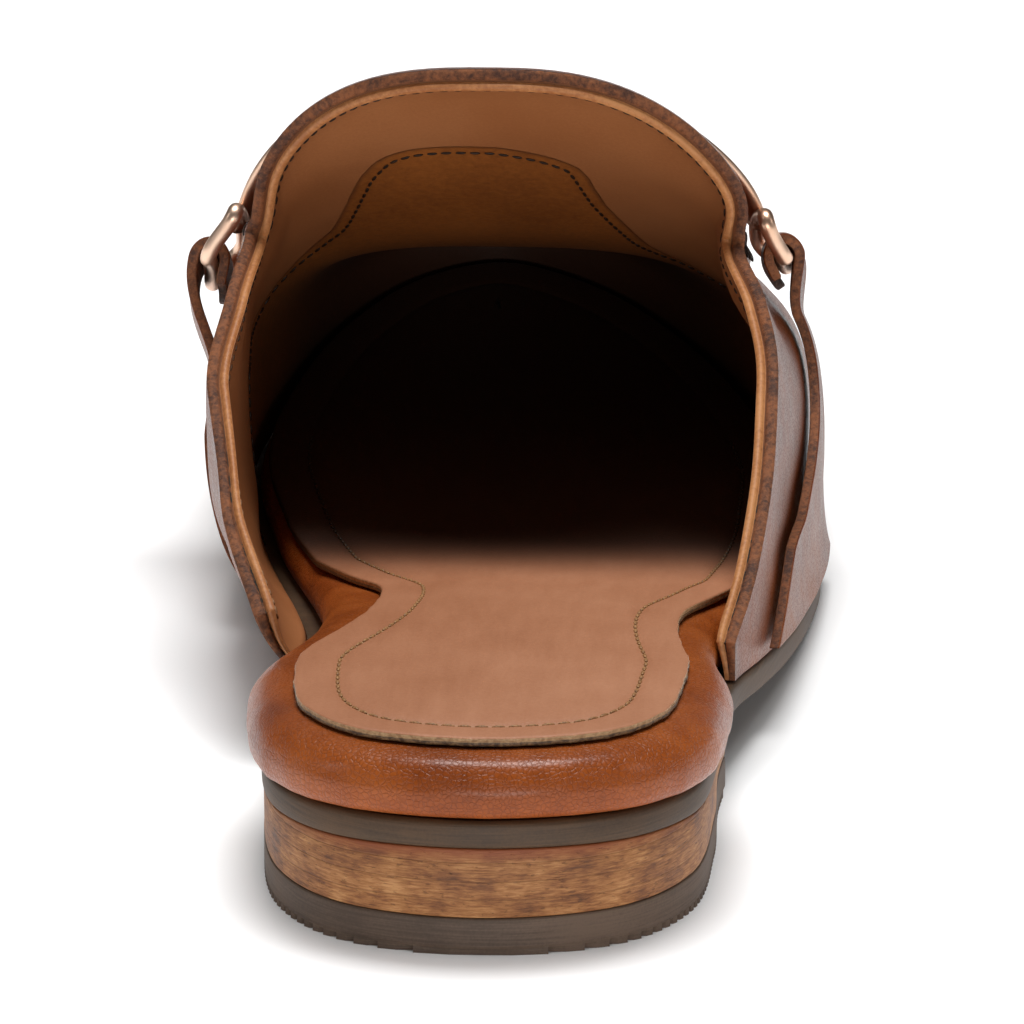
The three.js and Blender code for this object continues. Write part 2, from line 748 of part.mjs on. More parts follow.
// A strap is one leather ribbon: its line is swept from its rear edge to its front edge.
function strap(side) {
  const columns = 12;
  const lines = Array.from({ length: columns + 1 }, (_, j) => strapLine(side, j / columns));
  if (side === 'medial') lines.reverse();
  const rows = lines[0].length;
  const near = (i, last) => [Math.max(i - 1, 0), Math.min(i + 1, last)];
  const grid = (shift) =>
    Array.from({ length: rows }, (_, k) =>
      lines.map((line, j) => {
        const [below, above] = near(k, rows - 1);
        const [left, right] = near(j, columns);
        const along = lines[right][k].clone().sub(lines[left][k]);
        const outward = along.cross(line[above].clone().sub(line[below])).normalize();
        const p = line[k].clone().addScaledVector(outward, shift);
        return p.setZ(Math.max(p.z, soleTop(p.y) + fitGap));
      }),
    );
  const inner = grid(-strapThickness / 2);
  const outer = grid(strapThickness / 2);
  const skin = new Skin();
  for (let k = 0; k + 1 < rows; k += 1) {
    skin.band(outer[k], outer[k + 1], false);
    skin.band([...inner[k]].reverse(), [...inner[k + 1]].reverse(), false);
    skin.quad(inner[k][0], outer[k][0], outer[k + 1][0], inner[k + 1][0]);
    skin.quad(outer[k][columns], inner[k][columns], inner[k + 1][columns], outer[k + 1][columns]);
  }
  skin.band(inner[0], outer[0], false);
  skin.band(outer.at(-1), inner.at(-1), false);
  return skin.geometry();
}

// A closed or open tube with an elliptical section, along centres with their own directions.
function tubeSolid(rows, sides, closed) {
  const rings = rows.map(({ centre, widthways, upwards, halfWidth, halfHeight }) =>
    Array.from({ length: sides }, (_, i) => {
      const angle = (2 * Math.PI * i) / sides;
      return centre
        .clone()
        .addScaledVector(widthways, halfWidth * Math.cos(angle))
        .addScaledVector(upwards, halfHeight * Math.sin(angle));
    }),
  );
  const skin = new Skin();
  const count = closed ? rings.length : rings.length - 1;
  for (let i = 0; i < count; i += 1) skin.band(rings[i], rings[(i + 1) % rings.length], true);
  if (!closed) {
    for (let i = 1; i + 1 < sides; i += 1) {
      skin.triangle(rings[0][0], rings[0][i + 1], rings[0][i]);
      skin.triangle(rings.at(-1)[0], rings.at(-1)[i], rings.at(-1)[i + 1]);
    }
  }
  const solid = solidOf(skin.geometry());
  return solid;
}

// The directions of a path at one of its centres: sideways and away from the shoe.
function tubeRow(centres, normals, i, closed, halfWidth, halfHeight) {
  const count = centres.length;
  const next = closed ? (i + 1) % count : Math.min(i + 1, count - 1);
  const last = closed ? (i + count - 1) % count : Math.max(i - 1, 0);
  const forward = centres[next].clone().sub(centres[last]).normalize();
  const widthways = forward.clone().cross(normals[i]).normalize();
  const upwards = widthways.clone().cross(forward).normalize();
  return { centre: centres[i], widthways: widthways.negate(), upwards, halfWidth, halfHeight };
}

// The ring at one end of the bar: its outer limb lies in the strap's fold, its inner limb just
// above the upper.
function barRing(side) {
  const perLength = risePerLength(side);
  const halfLength = (ringLength - wireWidth) / 2;
  const halfDepth = (ringDepth - wireWidth) / 2;
  const corner = ringCorner;
  const cornerSteps = 4;
  const straight = [0, 0.25, 0.5, 0.75, 1].map((share) => lerp(-1, 1, share) * (halfLength - corner));
  const outline = [
    ...straight.map((forward) => [forward, -halfDepth]),
    ...Array.from({ length: cornerSteps - 1 }, (_, i) => roundCorner(i + 1, 1, -1)),
    [halfLength, 0],
    ...Array.from({ length: cornerSteps - 1 }, (_, i) => roundCorner(cornerSteps - 1 - i, 1, 1)),
    ...straight.map((forward) => [-forward, halfDepth]),
    ...Array.from({ length: cornerSteps - 1 }, (_, i) => roundCorner(i + 1, -1, 1)),
    [-halfLength, 0],
    ...Array.from({ length: cornerSteps - 1 }, (_, i) => roundCorner(cornerSteps - 1 - i, -1, -1)),
  ];
  function roundCorner(i, forwardSign, upSign) {
    const angle = (Math.PI / 2) * (i / cornerSteps);
    return [
      forwardSign * (halfLength - corner + corner * Math.sin(angle)),
      upSign * (halfDepth - corner + corner * Math.cos(angle)),
    ];
  }
  const centres = [];
  const normals = [];
  for (const [forward, up] of outline) {
    const rise = limbRise[side] + (halfDepth + up) * perLength;
    const sink = smoothstep(up, -halfDepth, halfDepth) * (limbHeight - barHeight);
    const centre = abovePoint(side, barAlong + forward, rise, limbHeight - sink);
    centres.push(centre);
    normals.push(abovePoint(side, barAlong + forward, rise, limbHeight + 1 - sink).sub(centre));
  }
  if (side === 'medial') {
    centres.reverse();
    normals.reverse();
  }
  const rows = centres.map((_, i) => tubeRow(centres, normals, i, true, wireWidth / 2, wireThickness / 2));
  return tubeSolid(rows, 8, true);
}

// The bar crosses the apron from ring to ring.
function bar() {
  const radius = wireThickness / 2;
  const steps = 12;
  const centres = [];
  const normals = [];
  const startRise = (side) => limbRise[side] + (ringDepth - wireWidth) * risePerLength(side);
  const add = (side, rise) => {
    const centre = abovePoint(side, barAlong, rise, barHeight);
    centres.push(centre);
    normals.push(abovePoint(side, barAlong, rise, barHeight + 1).sub(centre));
  };
  for (let i = 0; i < steps; i += 1) add('lateral', lerp(startRise('lateral'), 1, i / steps));
  for (let i = steps - 1; i >= 0; i -= 1) add('medial', lerp(startRise('medial'), 1, i / steps));
  const rows = centres.map((_, i) => tubeRow(centres, normals, i, false, barWidth / 2, radius));
  return geometryOf(tubeSolid(rows, 10, false).add(barRing('lateral')).add(barRing('medial')));
}

// Each node is a named mesh with its own material.
const materials = {
  rubber: { color: 0x3a2a20, roughness: 0.6, metalness: 0 },
  stackedHeel: { color: 0x9a6233, roughness: 0.75, metalness: 0 },
  rimLeather: { color: 0xa04d20, roughness: 0.45, metalness: 0 },
  sockLeather: { color: 0xc48a66, roughness: 0.6, metalness: 0 },
  upperLeather: { color: 0x8a4520, roughness: 0.4, metalness: 0 },
  gold: { color: 0xe0a860, roughness: 0.25, metalness: 1 },
};

const pieces = [
  ['top_lift', topLift(), 'rubber'],
  ['heel_block', heelBlock(), 'stackedHeel'],
  ['outsole', outsole(), 'rubber'],
  ['footbed', footbed(), 'rimLeather'],
  ['sock', sock(), 'sockLeather'],
  ['upper', upper(), 'upperLeather'],
  ['strap_lateral', strap('lateral'), 'upperLeather'],
  ['strap_medial', strap('medial'), 'upperLeather'],
  ['bar', bar(), 'gold'],
];

const shoe = new THREE.Group();
for (const [name, geometry, material] of pieces) {
  const mesh = new THREE.Mesh(geometry, new THREE.MeshStandardMaterial(materials[material]));
  mesh.name = name;
  shoe.add(mesh);
}

const bounds = new THREE.Box3().setFromObject(shoe);
const centre = bounds.getCenter(new THREE.Vector3());
shoe.position.set(-centre.x, -centre.y, 0);

export default shoe;
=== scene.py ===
import bpy
import numpy as np
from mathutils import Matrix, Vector
from mathutils.kdtree import KDTree


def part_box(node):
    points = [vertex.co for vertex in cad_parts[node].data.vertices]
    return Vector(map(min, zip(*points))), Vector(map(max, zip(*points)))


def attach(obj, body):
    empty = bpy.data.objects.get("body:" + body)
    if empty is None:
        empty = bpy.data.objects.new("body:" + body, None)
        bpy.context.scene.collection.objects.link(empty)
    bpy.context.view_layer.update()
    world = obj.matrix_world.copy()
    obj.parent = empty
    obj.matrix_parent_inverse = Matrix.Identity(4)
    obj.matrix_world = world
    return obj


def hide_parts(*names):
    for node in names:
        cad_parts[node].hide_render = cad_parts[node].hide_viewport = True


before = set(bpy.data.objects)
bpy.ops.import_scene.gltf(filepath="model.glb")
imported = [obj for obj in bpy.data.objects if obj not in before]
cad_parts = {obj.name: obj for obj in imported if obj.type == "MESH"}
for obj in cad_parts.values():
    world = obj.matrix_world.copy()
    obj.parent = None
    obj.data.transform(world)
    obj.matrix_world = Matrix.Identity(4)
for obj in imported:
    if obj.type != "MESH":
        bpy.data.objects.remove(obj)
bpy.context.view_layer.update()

# The outsole: one brown rubber piece cut to the last's outline, thin at the forefoot and lifted at
# the heel, with its edge trimmed and buffed. Every other piece takes its outline from this one.
SOLE_LENGTH = 258.0
BALL_WIDTH = 87.0
SOLE_THICKNESS = 4.0
HEEL_RISE = 15.6
TOE_SPRING = 8.0
TOE_SPRING_START = 198.0
FIT_GAP = 0.3
SIDES = ("lateral", "medial")
OUTLINE_SAMPLES = 1500
SOLE_STATIONS = 150
SOLE_CROSSINGS = 12

# The outline as shares of the sole's length and the ball's width, from the back of the heel round
# the little-toe side to the toe, and back along the big-toe side.
OUTLINE = [
    (0, 0), (0.0213, 0.222), (0.0698, 0.329), (0.155, 0.362), (0.225, 0.365), (0.28, 0.385),
    (0.35, 0.43), (0.44, 0.475), (0.581, 0.515), (0.667, 0.503), (0.795, 0.436), (0.899, 0.31),
    (0.969, 0.14), (1, -0.057), (0.977, -0.236), (0.911, -0.379), (0.806, -0.466), (0.698, -0.486),
    (0.581, -0.436), (0.457, -0.363), (0.37, -0.334), (0.27, -0.346), (0.163, -0.366),
    (0.0698, -0.329), (0.0213, -0.222),
]

# The underside: along as a share of the length, and its height as a share of the heel's rise.
UNDERSIDE = [
    (0, 1), (0.116, 0.85), (0.225, 0.7), (0.29, 0.6), (0.35, 0.455), (0.43, 0.25), (0.51, 0.085),
    (0.59, 0), (1, 0),
]


def curve_of(table, column=1):
    """A smooth curve through a table's first column and another one, without overshoot."""
    x = np.array([row[0] for row in table], float)
    y = np.array([row[column] for row in table], float)
    slope = np.diff(y) / np.diff(x)
    tangent = np.zeros(len(x))
    tangent[0] = slope[0]
    tangent[-1] = slope[-1]
    for i in range(1, len(x) - 1):
        if slope[i - 1] * slope[i] > 0:
            tangent[i] = 2 * slope[i - 1] * slope[i] / (slope[i - 1] + slope[i])

    def at(value):
        v = np.clip(value, x[0], x[-1])
        i = np.clip(np.searchsorted(x, v) - 1, 0, len(x) - 2)
        span = x[i + 1] - x[i]
        t = (v - x[i]) / span
        rest = 1 - t
        ends = y[i] * rest * rest * (1 + 2 * t) + y[i + 1] * t * t * (3 - 2 * t)
        return ends + span * t * rest * (tangent[i] * rest - tangent[i + 1] * t)

    return at


def smoothstep(value, low, high):
    t = np.clip((value - low) / (high - low), 0, 1)
    return t * t * (3 - 2 * t)


def lerp(a, b, t):
    return a + (b - a) * t


lift_at = curve_of(UNDERSIDE)


def underside(along):
    spring = np.clip((along - TOE_SPRING_START) / (SOLE_LENGTH - TOE_SPRING_START), 0, 1)
    return HEEL_RISE * lift_at(along / SOLE_LENGTH) + TOE_SPRING * spring**2


def sole_top(along):
    return underside(along) + SOLE_THICKNESS


def closed_curve(rows, samples):
    """A closed centripetal curve through the outline's rows."""
    points = np.array([(across * BALL_WIDTH, along * SOLE_LENGTH) for along, across in rows])
    count = len(points)
    place = np.arange(samples) * count / samples
    i = place.astype(int)
    t = (place - i)[:, None]
    p0, p1, p2, p3 = (points[(i + n) % count] for n in (-1, 0, 1, 2))
    spans = ((p0, p1), (p1, p2), (p2, p3))
    d0, d1, d2 = (np.sqrt(np.linalg.norm(b - a, axis=1))[:, None] for a, b in spans)
    start = ((p1 - p0) / d0 - (p2 - p0) / (d0 + d1) + (p2 - p1) / d1) * d1
    end = ((p2 - p1) / d1 - (p3 - p1) / (d1 + d2) + (p3 - p2) / d2) * d1
    square = 3 * (p2 - p1) - 2 * start - end
    cube = 2 * (p1 - p2) + start + end
    return p1 + start * t + square * t**2 + cube * t**3


def outline_from(points):
    """An outline that starts at the back of the heel, with its two sides run from back to front."""
    points = np.roll(points, -np.argmin(points[:, 1]), axis=0)
    front = int(np.argmax(points[:, 1]))
    ahead = np.roll(points, -1, axis=0) - np.roll(points, 1, axis=0)
    outward = np.stack([ahead[:, 1], -ahead[:, 0]], axis=1)
    outward /= np.linalg.norm(outward, axis=1)[:, None]
    medial = np.r_[0, np.arange(len(points) - 1, front - 1, -1)]
    return {
        "points": points,
        "outward": outward,
        "is_lateral": np.arange(len(points)) <= front,
        "lateral": np.arange(front + 1),
        "medial": medial,
        "back": points[0, 1],
        "front": points[front, 1],
    }


def offset_outline(outline, distance):
    """Moves an outline outwards by distance(along, is_lateral)."""
    moved = distance(outline["points"][:, 1], outline["is_lateral"])
    moved = np.broadcast_to(moved, len(outline["points"]))
    return outline_from(outline["points"] + outline["outward"] * moved[:, None])


def inset_outline(outline, inset):
    """Draws an outline in by one distance all round."""
    return offset_outline(outline, lambda along, is_lateral: -inset)


def side_frame(outline, side, along):
    """One side's plan point and outward direction at each distance along."""
    rows = outline[side]
    y = np.maximum.accumulate(outline["points"][rows, 1])
    x = np.interp(along, y, outline["points"][rows, 0])
    out = np.stack([np.interp(along, y, outline["outward"][rows, n]) for n in (0, 1)], axis=-1)
    out /= np.linalg.norm(out, axis=-1, keepdims=True)
    point = np.stack([x, np.clip(along, y[0], y[-1])], axis=-1)
    return point, out


def ring_of(outline, stations, height):
    """A ring of points: the back, the lateral side, the front and the medial side."""
    shares = (1 - np.cos(np.pi * np.arange(stations + 1) / stations)) / 2
    along = lerp(outline["back"], outline["front"], shares)
    lateral, _ = side_frame(outline, "lateral", along)
    medial, _ = side_frame(outline, "medial", along[1:-1])
    plan = np.vstack([lateral, medial[::-1]])
    return np.column_stack([plan, height(plan[:, 1])])


def cap_faces(ring, crossings, height, start, next_vertex, face_up):
    """The extra points and the faces of a lid or floor, as rungs from side to side of a ring."""
    stations = len(ring) // 2
    points = []
    rungs = []
    for i in range(1, stations):
        left, right = ring[i], ring[len(ring) - i]
        rung = [start + i]
        for j in range(1, crossings):
            p = lerp(left, right, j / crossings)
            p[2] = height(p[1])
            rung.append(next_vertex + len(points))
            points.append(p)
        rungs.append(rung + [start + len(ring) - i])
    faces = []
    for j in range(crossings):
        faces.append((start, rungs[0][j], rungs[0][j + 1]))
        faces.append((rungs[-1][j], start + stations, rungs[-1][j + 1]))
        for a, b in zip(rungs, rungs[1:]):
            faces.append((a[j], b[j], b[j + 1], a[j + 1]))
    if not face_up:
        faces = [face[::-1] for face in faces]
    return points, faces


def ring_walls(rings):
    """The points of a stack of rings, the lowest first, and the faces between them."""
    count = len(rings[0])
    faces = []
    for k in range(len(rings) - 1):
        for i in range(count):
            a, b = k * count + i, k * count + (i + 1) % count
            faces.append((a, b, b + count, a + count))
    return [p for ring in rings for p in ring], faces


def stack_of(rings, crossings, floor_height, lid_height):
    """A closed body from a stack of rings, with its floor and lid laid as rungs."""
    vertices, faces = ring_walls(rings)
    top = len(vertices) - len(rings[0])
    caps = ((rings[0], 0, floor_height, False), (rings[-1], top, lid_height, True))
    for ring, start, height, up in caps:
        points, added = cap_faces(ring, crossings, height, start, len(vertices), up)
        vertices += points
        faces += added
    return np.array(vertices), faces


base = outline_from(closed_curve(OUTLINE, OUTLINE_SAMPLES))
low_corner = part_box("outsole")[0] * 1000
shift = np.array([low_corner.x - base["points"][:, 0].min(), low_corner.y - base["back"], 0])


def add_piece(name, vertices, faces, materials, face_materials=None):
    """A smooth-shaded mesh object from millimetres along and across the shoe."""
    mesh = bpy.data.meshes.new(name)
    mesh.from_pydata(((np.asarray(vertices) + shift) / 1000).tolist(), [], faces)
    for material in materials:
        mesh.materials.append(material)
    if face_materials is not None:
        mesh.polygons.foreach_set("material_index", np.asarray(face_materials, np.int32))
    mesh.shade_smooth()
    mesh.update()
    piece = bpy.data.objects.new(name, mesh)
    bpy.context.scene.collection.objects.link(piece)
    return piece


def store(piece, name, values):
    """Keeps a number for each vertex, for the piece's material to read."""
    attribute = piece.data.attributes.new(name, "FLOAT", "POINT")
    attribute.data.foreach_set("value", np.asarray(values, np.float32))


class Socket:
    """One output in a material's node tree, on which shader maths reads as plain expressions."""

    def __init__(self, tree, output=None):
        self.tree = tree
        self.output = output

    def node(self, kind, settings=None, inputs=None, output=0):
        made = self.tree.nodes.new("ShaderNode" + kind)
        for name, value in (settings or {}).items():
            if name == "stops":
                while len(made.color_ramp.elements) < len(value):
                    made.color_ramp.elements.new(0.5)
                for element, (position, colour) in zip(made.color_ramp.elements, value):
                    element.position = position
                    element.color = (*colour, 1)
            else:
                setattr(made, name, value)
        for name, value in (inputs or {}).items():
            if isinstance(value, Socket):
                self.tree.links.new(value.output, made.inputs[name])
            else:
                made.inputs[name].default_value = value
        return Socket(self.tree, made.outputs[output] if len(made.outputs) else None)

    def maths(self, operation, a, b=0.0):
        return self.node("Math", {"operation": operation}, {0: a, 1: b})

    def __add__(self, other):
        return self.maths("ADD", self, other)

    def __radd__(self, other):
        return self.maths("ADD", other, self)

    def __sub__(self, other):
        return self.maths("SUBTRACT", self, other)

    def __rsub__(self, other):
        return self.maths("SUBTRACT", other, self)

    def __mul__(self, other):
        return self.maths("MULTIPLY", self, other)

    def __rmul__(self, other):
        return self.maths("MULTIPLY", other, self)

    def between(self, low, high):
        """0 below low and 1 above high, with a smooth step between them."""
        settings = {"interpolation_type": "SMOOTHSTEP"}
        return self.node("MapRange", settings, {"Value": self, "From Min": low, "From Max": high})

    def colours(self, off, on):
        """A mix of two colours by this value."""
        low, high = (end if isinstance(end, Socket) else (*end, 1) for end in (off, on))
        return self.node("Mix", {"data_type": "RGBA"}, {0: self, 6: low, 7: high}, 2)

    def bump(self, strength, depth):
        """Relief with this value as its height, and a depth in millimetres."""
        inputs = {"Strength": strength, "Distance": depth / 1000, "Height": self}
        return self.node("Bump", {}, inputs)


def new_finish(name):
    """A new material, and the place on its object, from which its other nodes are made."""
    material = bpy.data.materials.new(name)
    material.use_nodes = True
    material.node_tree.nodes.clear()
    return material, Socket(material.node_tree).node("TexCoord", {}, {}, "Object")


def end_finish(place, **inputs):
    """Ends a material in one Principled shader, whose inputs are named with underscores."""
    named = {name.replace("_", " "): value for name, value in inputs.items()}
    shader = place.node("BsdfPrincipled", {}, named)
    place.node("OutputMaterial", {}, {"Surface": shader})


def noise(place, scale, detail=2.0, roughness=0.5):
    """Noise at a place, stretched along the axes where the scale is three numbers."""
    if isinstance(scale, tuple):
        place = place.node("Mapping", {}, {"Vector": place, "Scale": scale})
        scale = 1.0
    inputs = {"Vector": place, "Scale": scale, "Detail": detail, "Roughness": roughness}
    return place.node("TexNoise", {}, inputs)


def rubber_finish(name, dark, light, roughness):
    """Moulded and buffed rubber: clouded colour, with fine scratches that run round the edge."""
    material, place = new_finish(name)
    scratches = noise(place, (90, 90, 3500), 3.0, 0.6)
    clouds = noise(place, 60, 3.0)
    grit = noise(place, 2600, 2.0)
    mixed = clouds * 0.5 + scratches * 0.35 + grit * 0.15
    colour = mixed.between(0.34, 0.64).colours(dark, light)
    height = scratches * 0.6 + grit * 0.4
    rough = roughness + (clouds - 0.5) * 0.25
    end_finish(place, Base_Color=colour, Roughness=rough, Normal=height.bump(0.5, 0.12))
    return material


sole_rubber = rubber_finish("sole_rubber", (0.038, 0.019, 0.007), (0.098, 0.050, 0.020), 0.6)

# The trimmed edge in section: the surface it is measured from, the height over it, and the inset.
SOLE_EDGE = [
    (underside, 0.0, 0.6), (underside, 0.15, 0.25), (underside, 0.5, 0.05), (underside, 1.4, 0.0),
    (sole_top, -1.0, 0.0), (sole_top, -0.5, 0.15), (sole_top, 0.0, 0.6),
]
rings = []
for surface, up, inset in SOLE_EDGE:
    trimmed = inset_outline(base, inset)
    rings.append(ring_of(trimmed, SOLE_STATIONS, lambda along: surface(along) + up))
body = stack_of(rings, SOLE_CROSSINGS, underside, sole_top)
outsole = add_piece("outsole_rubber", *body, [sole_rubber])
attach(outsole, "root")
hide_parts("outsole")

# The heel block: thin layers of fibre board stacked, glued and turned to the sole's outline, with a
# hollow breast at the front, then stained tan and lightly waxed so that the fibres show.
HEEL_BREAST = 58.0
BREAST_RADIUS = 70.0
BREAST_SEARCH = 30.0
BREAST_STATIONS = 41
LIFT_THICKNESS = 5.4
HEEL_STATIONS = 70
HEEL_LAYER = 2.7
HAIR_GAP = 0.03
GLUE_LINE = (0.00002, 0.00016)
STAIN_BAND = (0.0128, 0.0160)


def breast_at(across):
    """How far forward the heel's hollow front lies."""
    depth = np.sqrt(BREAST_RADIUS**2 - np.minimum(np.abs(across), 60) ** 2)
    return HEEL_BREAST + BREAST_RADIUS - depth


def heel_ring(outline, height):
    """The heel's plan as a closed ring: both sides from the back, and the breast between them."""
    def corner(side):
        along = np.linspace(outline["back"] + BREAST_SEARCH, outline["front"], 2000)
        point, _ = side_frame(outline, side, along)
        return along[np.argmax(along > breast_at(point[:, 0]))]

    shares = 1 - np.cos(np.pi / 2 * np.linspace(0, 1, HEEL_STATIONS))
    lateral, medial = (
        side_frame(outline, side, lerp(outline["back"], corner(side), shares))[0] for side in SIDES)
    across = np.linspace(lateral[-1, 0], medial[-1, 0], BREAST_STATIONS)[1:-1]
    breast = np.column_stack([across, breast_at(across)])
    plan = np.vstack([lateral, breast, medial[::-1][:-1]])
    return np.column_stack([plan, height(plan[:, 1])])


def heel_stack(rings):
    """A closed body from heel rings, with its floor and lid as fans round the heel's middle."""
    vertices, faces = ring_walls(rings)
    count = len(rings[0])
    for ring, start, up in ((rings[0], 0, False), (rings[-1], len(vertices) - count, True)):
        middle = len(vertices)
        vertices.append(ring.mean(axis=0))
        for i in range(count):
            face = (start + i, start + (i + 1) % count, middle)
            faces.append(face if up else face[::-1])
    return np.array(vertices), faces


material, place = new_finish("stacked_heel")
up = place.node("SeparateXYZ", {}, {"Vector": place}, 2)
fibres = noise(place, (420, 420, 3600), 4.0, 0.7)
flecks = noise(place, (900, 900, 2600), 3.0, 0.6)
streaks = noise(place, (110, 110, 480), 3.0, 0.6)
patches = noise(place, 150, 3.0, 0.6)
joints = place.node("Math", {"operation": "PINGPONG"}, {0: up, 1: HEEL_LAYER / 2000})
joint = 1 - joints.between(*GLUE_LINE)
tone = patches * 0.38 + streaks * 0.22 + fibres * 0.4
wood = place.node("ValToRGB", {"stops": [
    (0.38, (0.115, 0.036, 0.008)), (0.46, (0.24, 0.084, 0.020)),
    (0.53, (0.38, 0.155, 0.045)), (0.62, (0.55, 0.27, 0.10)),
]}, {"Fac": tone})
dark_flecks = flecks.between(0.60, 0.68)
wood = (dark_flecks * 0.45).colours(wood, (0.07, 0.026, 0.010))
stained = up.between(*STAIN_BAND).colours(wood, (0.27, 0.062, 0.016))
aged = (joint * 0.25).colours(stained, (0.11, 0.045, 0.016))
height = fibres * 0.6 - dark_flecks * 0.4 - joint * 0.4
rough = 0.6 + (patches - 0.5) * 0.25
end_finish(place, Base_Color=aged, Roughness=rough, Normal=height.bump(0.7, 0.16))


def lift_top(along):
    return LIFT_THICKNESS + 0 * along


# The block's edges in section: the surface it is measured from, the height over it, and the inset.
HEEL_EDGE = [
    (lift_top, HAIR_GAP, 0.65), (lift_top, HAIR_GAP + 0.1, 0.46), (lift_top, HAIR_GAP + 0.35, 0.36),
    (underside, -HAIR_GAP - 0.35, 0.3), (underside, -HAIR_GAP - 0.1, 0.38), (underside, -HAIR_GAP, 0.6),
]
rings = []
for surface, up, inset in HEEL_EDGE:
    rings.append(heel_ring(inset_outline(base, inset), lambda along: surface(along) + up))
heel_block = add_piece("heel_block_stack", *heel_stack(rings), [material])
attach(heel_block, "root")
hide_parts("heel_block")

# The top lift: the wearing layer under the heel, moulded in brown rubber with fine ribs across its
# underside, glued on and trimmed flush.
RIB_PITCH = 1.6
RIB_WIDTH = 0.95
RIB_DEPTH = 0.9
RIB_INSET = 0.32
RIB_LEAN = 0.16
RIB_SINK = 0.3
RIB_END_GAP = 0.2
RIB_STEPS = 24
FIRST_RIB = 0.6
RIB_REACH = 18.0

lift_rubber = rubber_finish("top_lift_rubber", (0.070, 0.042, 0.026), (0.150, 0.096, 0.064), 0.65)
# The lift's edge in section: the height and the inset.
LIFT_EDGE = [
    (RIB_DEPTH, 0.7), (RIB_DEPTH + 0.05, 0.34), (1.5, 0.3), (LIFT_THICKNESS - 0.4, 0.3),
    (LIFT_THICKNESS - 0.1, 0.4), (LIFT_THICKNESS, 0.65),
]
rings = [heel_ring(inset_outline(base, inset), lambda along: up + 0 * along) for up, inset in LIFT_EDGE]
vertices, faces = heel_stack(rings)
vertices = vertices.tolist()
ribbed = inset_outline(base, RIB_INSET)
for rear in np.arange(FIRST_RIB, HEEL_BREAST + RIB_REACH, RIB_PITCH):
    front = rear + RIB_WIDTH
    plan = {side: side_frame(ribbed, side, np.array([rear, front]))[0] for side in SIDES}
    edges = list(zip(plan["medial"][:, 0], plan["lateral"][:, 0]))
    spans = [edges]
    if front > HEEL_BREAST:
        to_centre = HEEL_BREAST + BREAST_RADIUS - front
        hollow = np.sqrt(max(BREAST_RADIUS**2 - to_centre**2, 0)) + RIB_END_GAP
        spans = [[(left, -hollow) for left, _ in edges], [(hollow, right) for _, right in edges]]
    for span in spans:
        if min(right - left for left, right in span) < 1:
            continue
        first = len(vertices)
        for t in np.linspace(0, 1, RIB_STEPS + 1):
            for (left, right), along, lean in zip(span, (rear, front), (RIB_LEAN, -RIB_LEAN)):
                x = lerp(left, right, t)
                vertices.append([x, along, RIB_DEPTH + RIB_SINK])
                vertices.append([x, along + lean, 0.0])
        last = first + 4 * RIB_STEPS
        for a in range(first, last, 4):
            for low, high in ((0, 1), (1, 3), (3, 2), (2, 0)):
                faces.append((a + low, a + 4 + low, a + 4 + high, a + high))
        faces.append((first, first + 1, first + 3, first + 2))
        faces.append((last, last + 2, last + 3, last + 1))
top_lift = add_piece("top_lift_ribbed", vertices, faces, [lift_rubber])
wall_count = (len(rings) - 1) * len(rings[0])
for polygon in top_lift.data.polygons:
    polygon.use_smooth = polygon.index < wall_count
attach(top_lift, "root")
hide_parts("top_lift")

# The footbed: a padded insole board with orange-brown leather wrapped over its edge, which stands
# proud round the heel as a soft rim and runs on inside the upper. The leather is pulled under and
# cemented to the outsole.
RIM_HEIGHT = 9.0
FOREFOOT_PAD = 4.6
RIM_PROUD = 2.0
RIM_BLEND = (44.0, 78.0)
WALL = 3.2
SKIVED_WALL = 1.5
FEATHER_INSET = 0.4
THROAT_ALONG = 156.0
FOOTBED_STATIONS = 170
FOOTBED_CROSSINGS = 14
RIM_STEPS = 41
RIM_MIDDLE = (0.0, 40.0)
PUCKER_DEPTH = 0.16
PUCKER_CENTRE = 36.0
PUCKER_FADE = (20.0, 70.0)
PUCKERS = [(23, 0, 0.5), (37, 1.3, 0.3), (61, 0.4, 0.2)]

# The rim in section: how far it draws in and how high that point lies, as shares of its height.
RIM_PROFILE = [
    (0, 0.3, 0), (1, 0.1, 0.08), (2, 0.02, 0.24), (3, 0, 0.42), (4, 0.05, 0.62), (5, 0.16, 0.79),
    (6, 0.34, 0.92), (7, 0.58, 0.985), (8, 0.75, 1),
]

# The upper's two sides: along, how far each swells past the sole, how high its widest line lies,
# both as shares of the ball width, and how square the arch above it is.
MEDIAL = [
    (0.24, 0.03, 0.2, 0.85), (0.31, 0.095, 0.24, 0.85), (0.39, 0.14, 0.28, 0.8), (0.47, 0.14, 0.29, 0.78),
    (0.54, 0.09, 0.29, 0.77), (0.605, 0.05, 0.3, 0.76), (0.65, 0.03, 0.24, 0.84),
    (0.71, 0.02, 0.19, 0.88), (0.79, 0.015, 0.165, 0.92), (0.88, 0.012, 0.14, 0.93),
    (0.99, 0.01, 0.12, 0.93),
]
LATERAL = [
    (0.24, 0, 0.14, 0.85), (0.31, 0, 0.15, 0.85), (0.39, -0.01, 0.16, 0.85), (0.47, -0.02, 0.16, 0.85),
    (0.54, -0.022, 0.15, 0.85), (0.605, -0.02, 0.14, 0.86), (0.65, -0.01, 0.14, 0.93),
    (0.71, 0.01, 0.14, 0.92), (0.79, 0.02, 0.14, 0.92), (0.88, 0.015, 0.13, 0.93),
    (0.99, 0.01, 0.12, 0.93),
]
swell_at, wide_at, arch_at = (
    {"medial": curve_of(MEDIAL, column), "lateral": curve_of(LATERAL, column)} for column in (1, 2, 3))


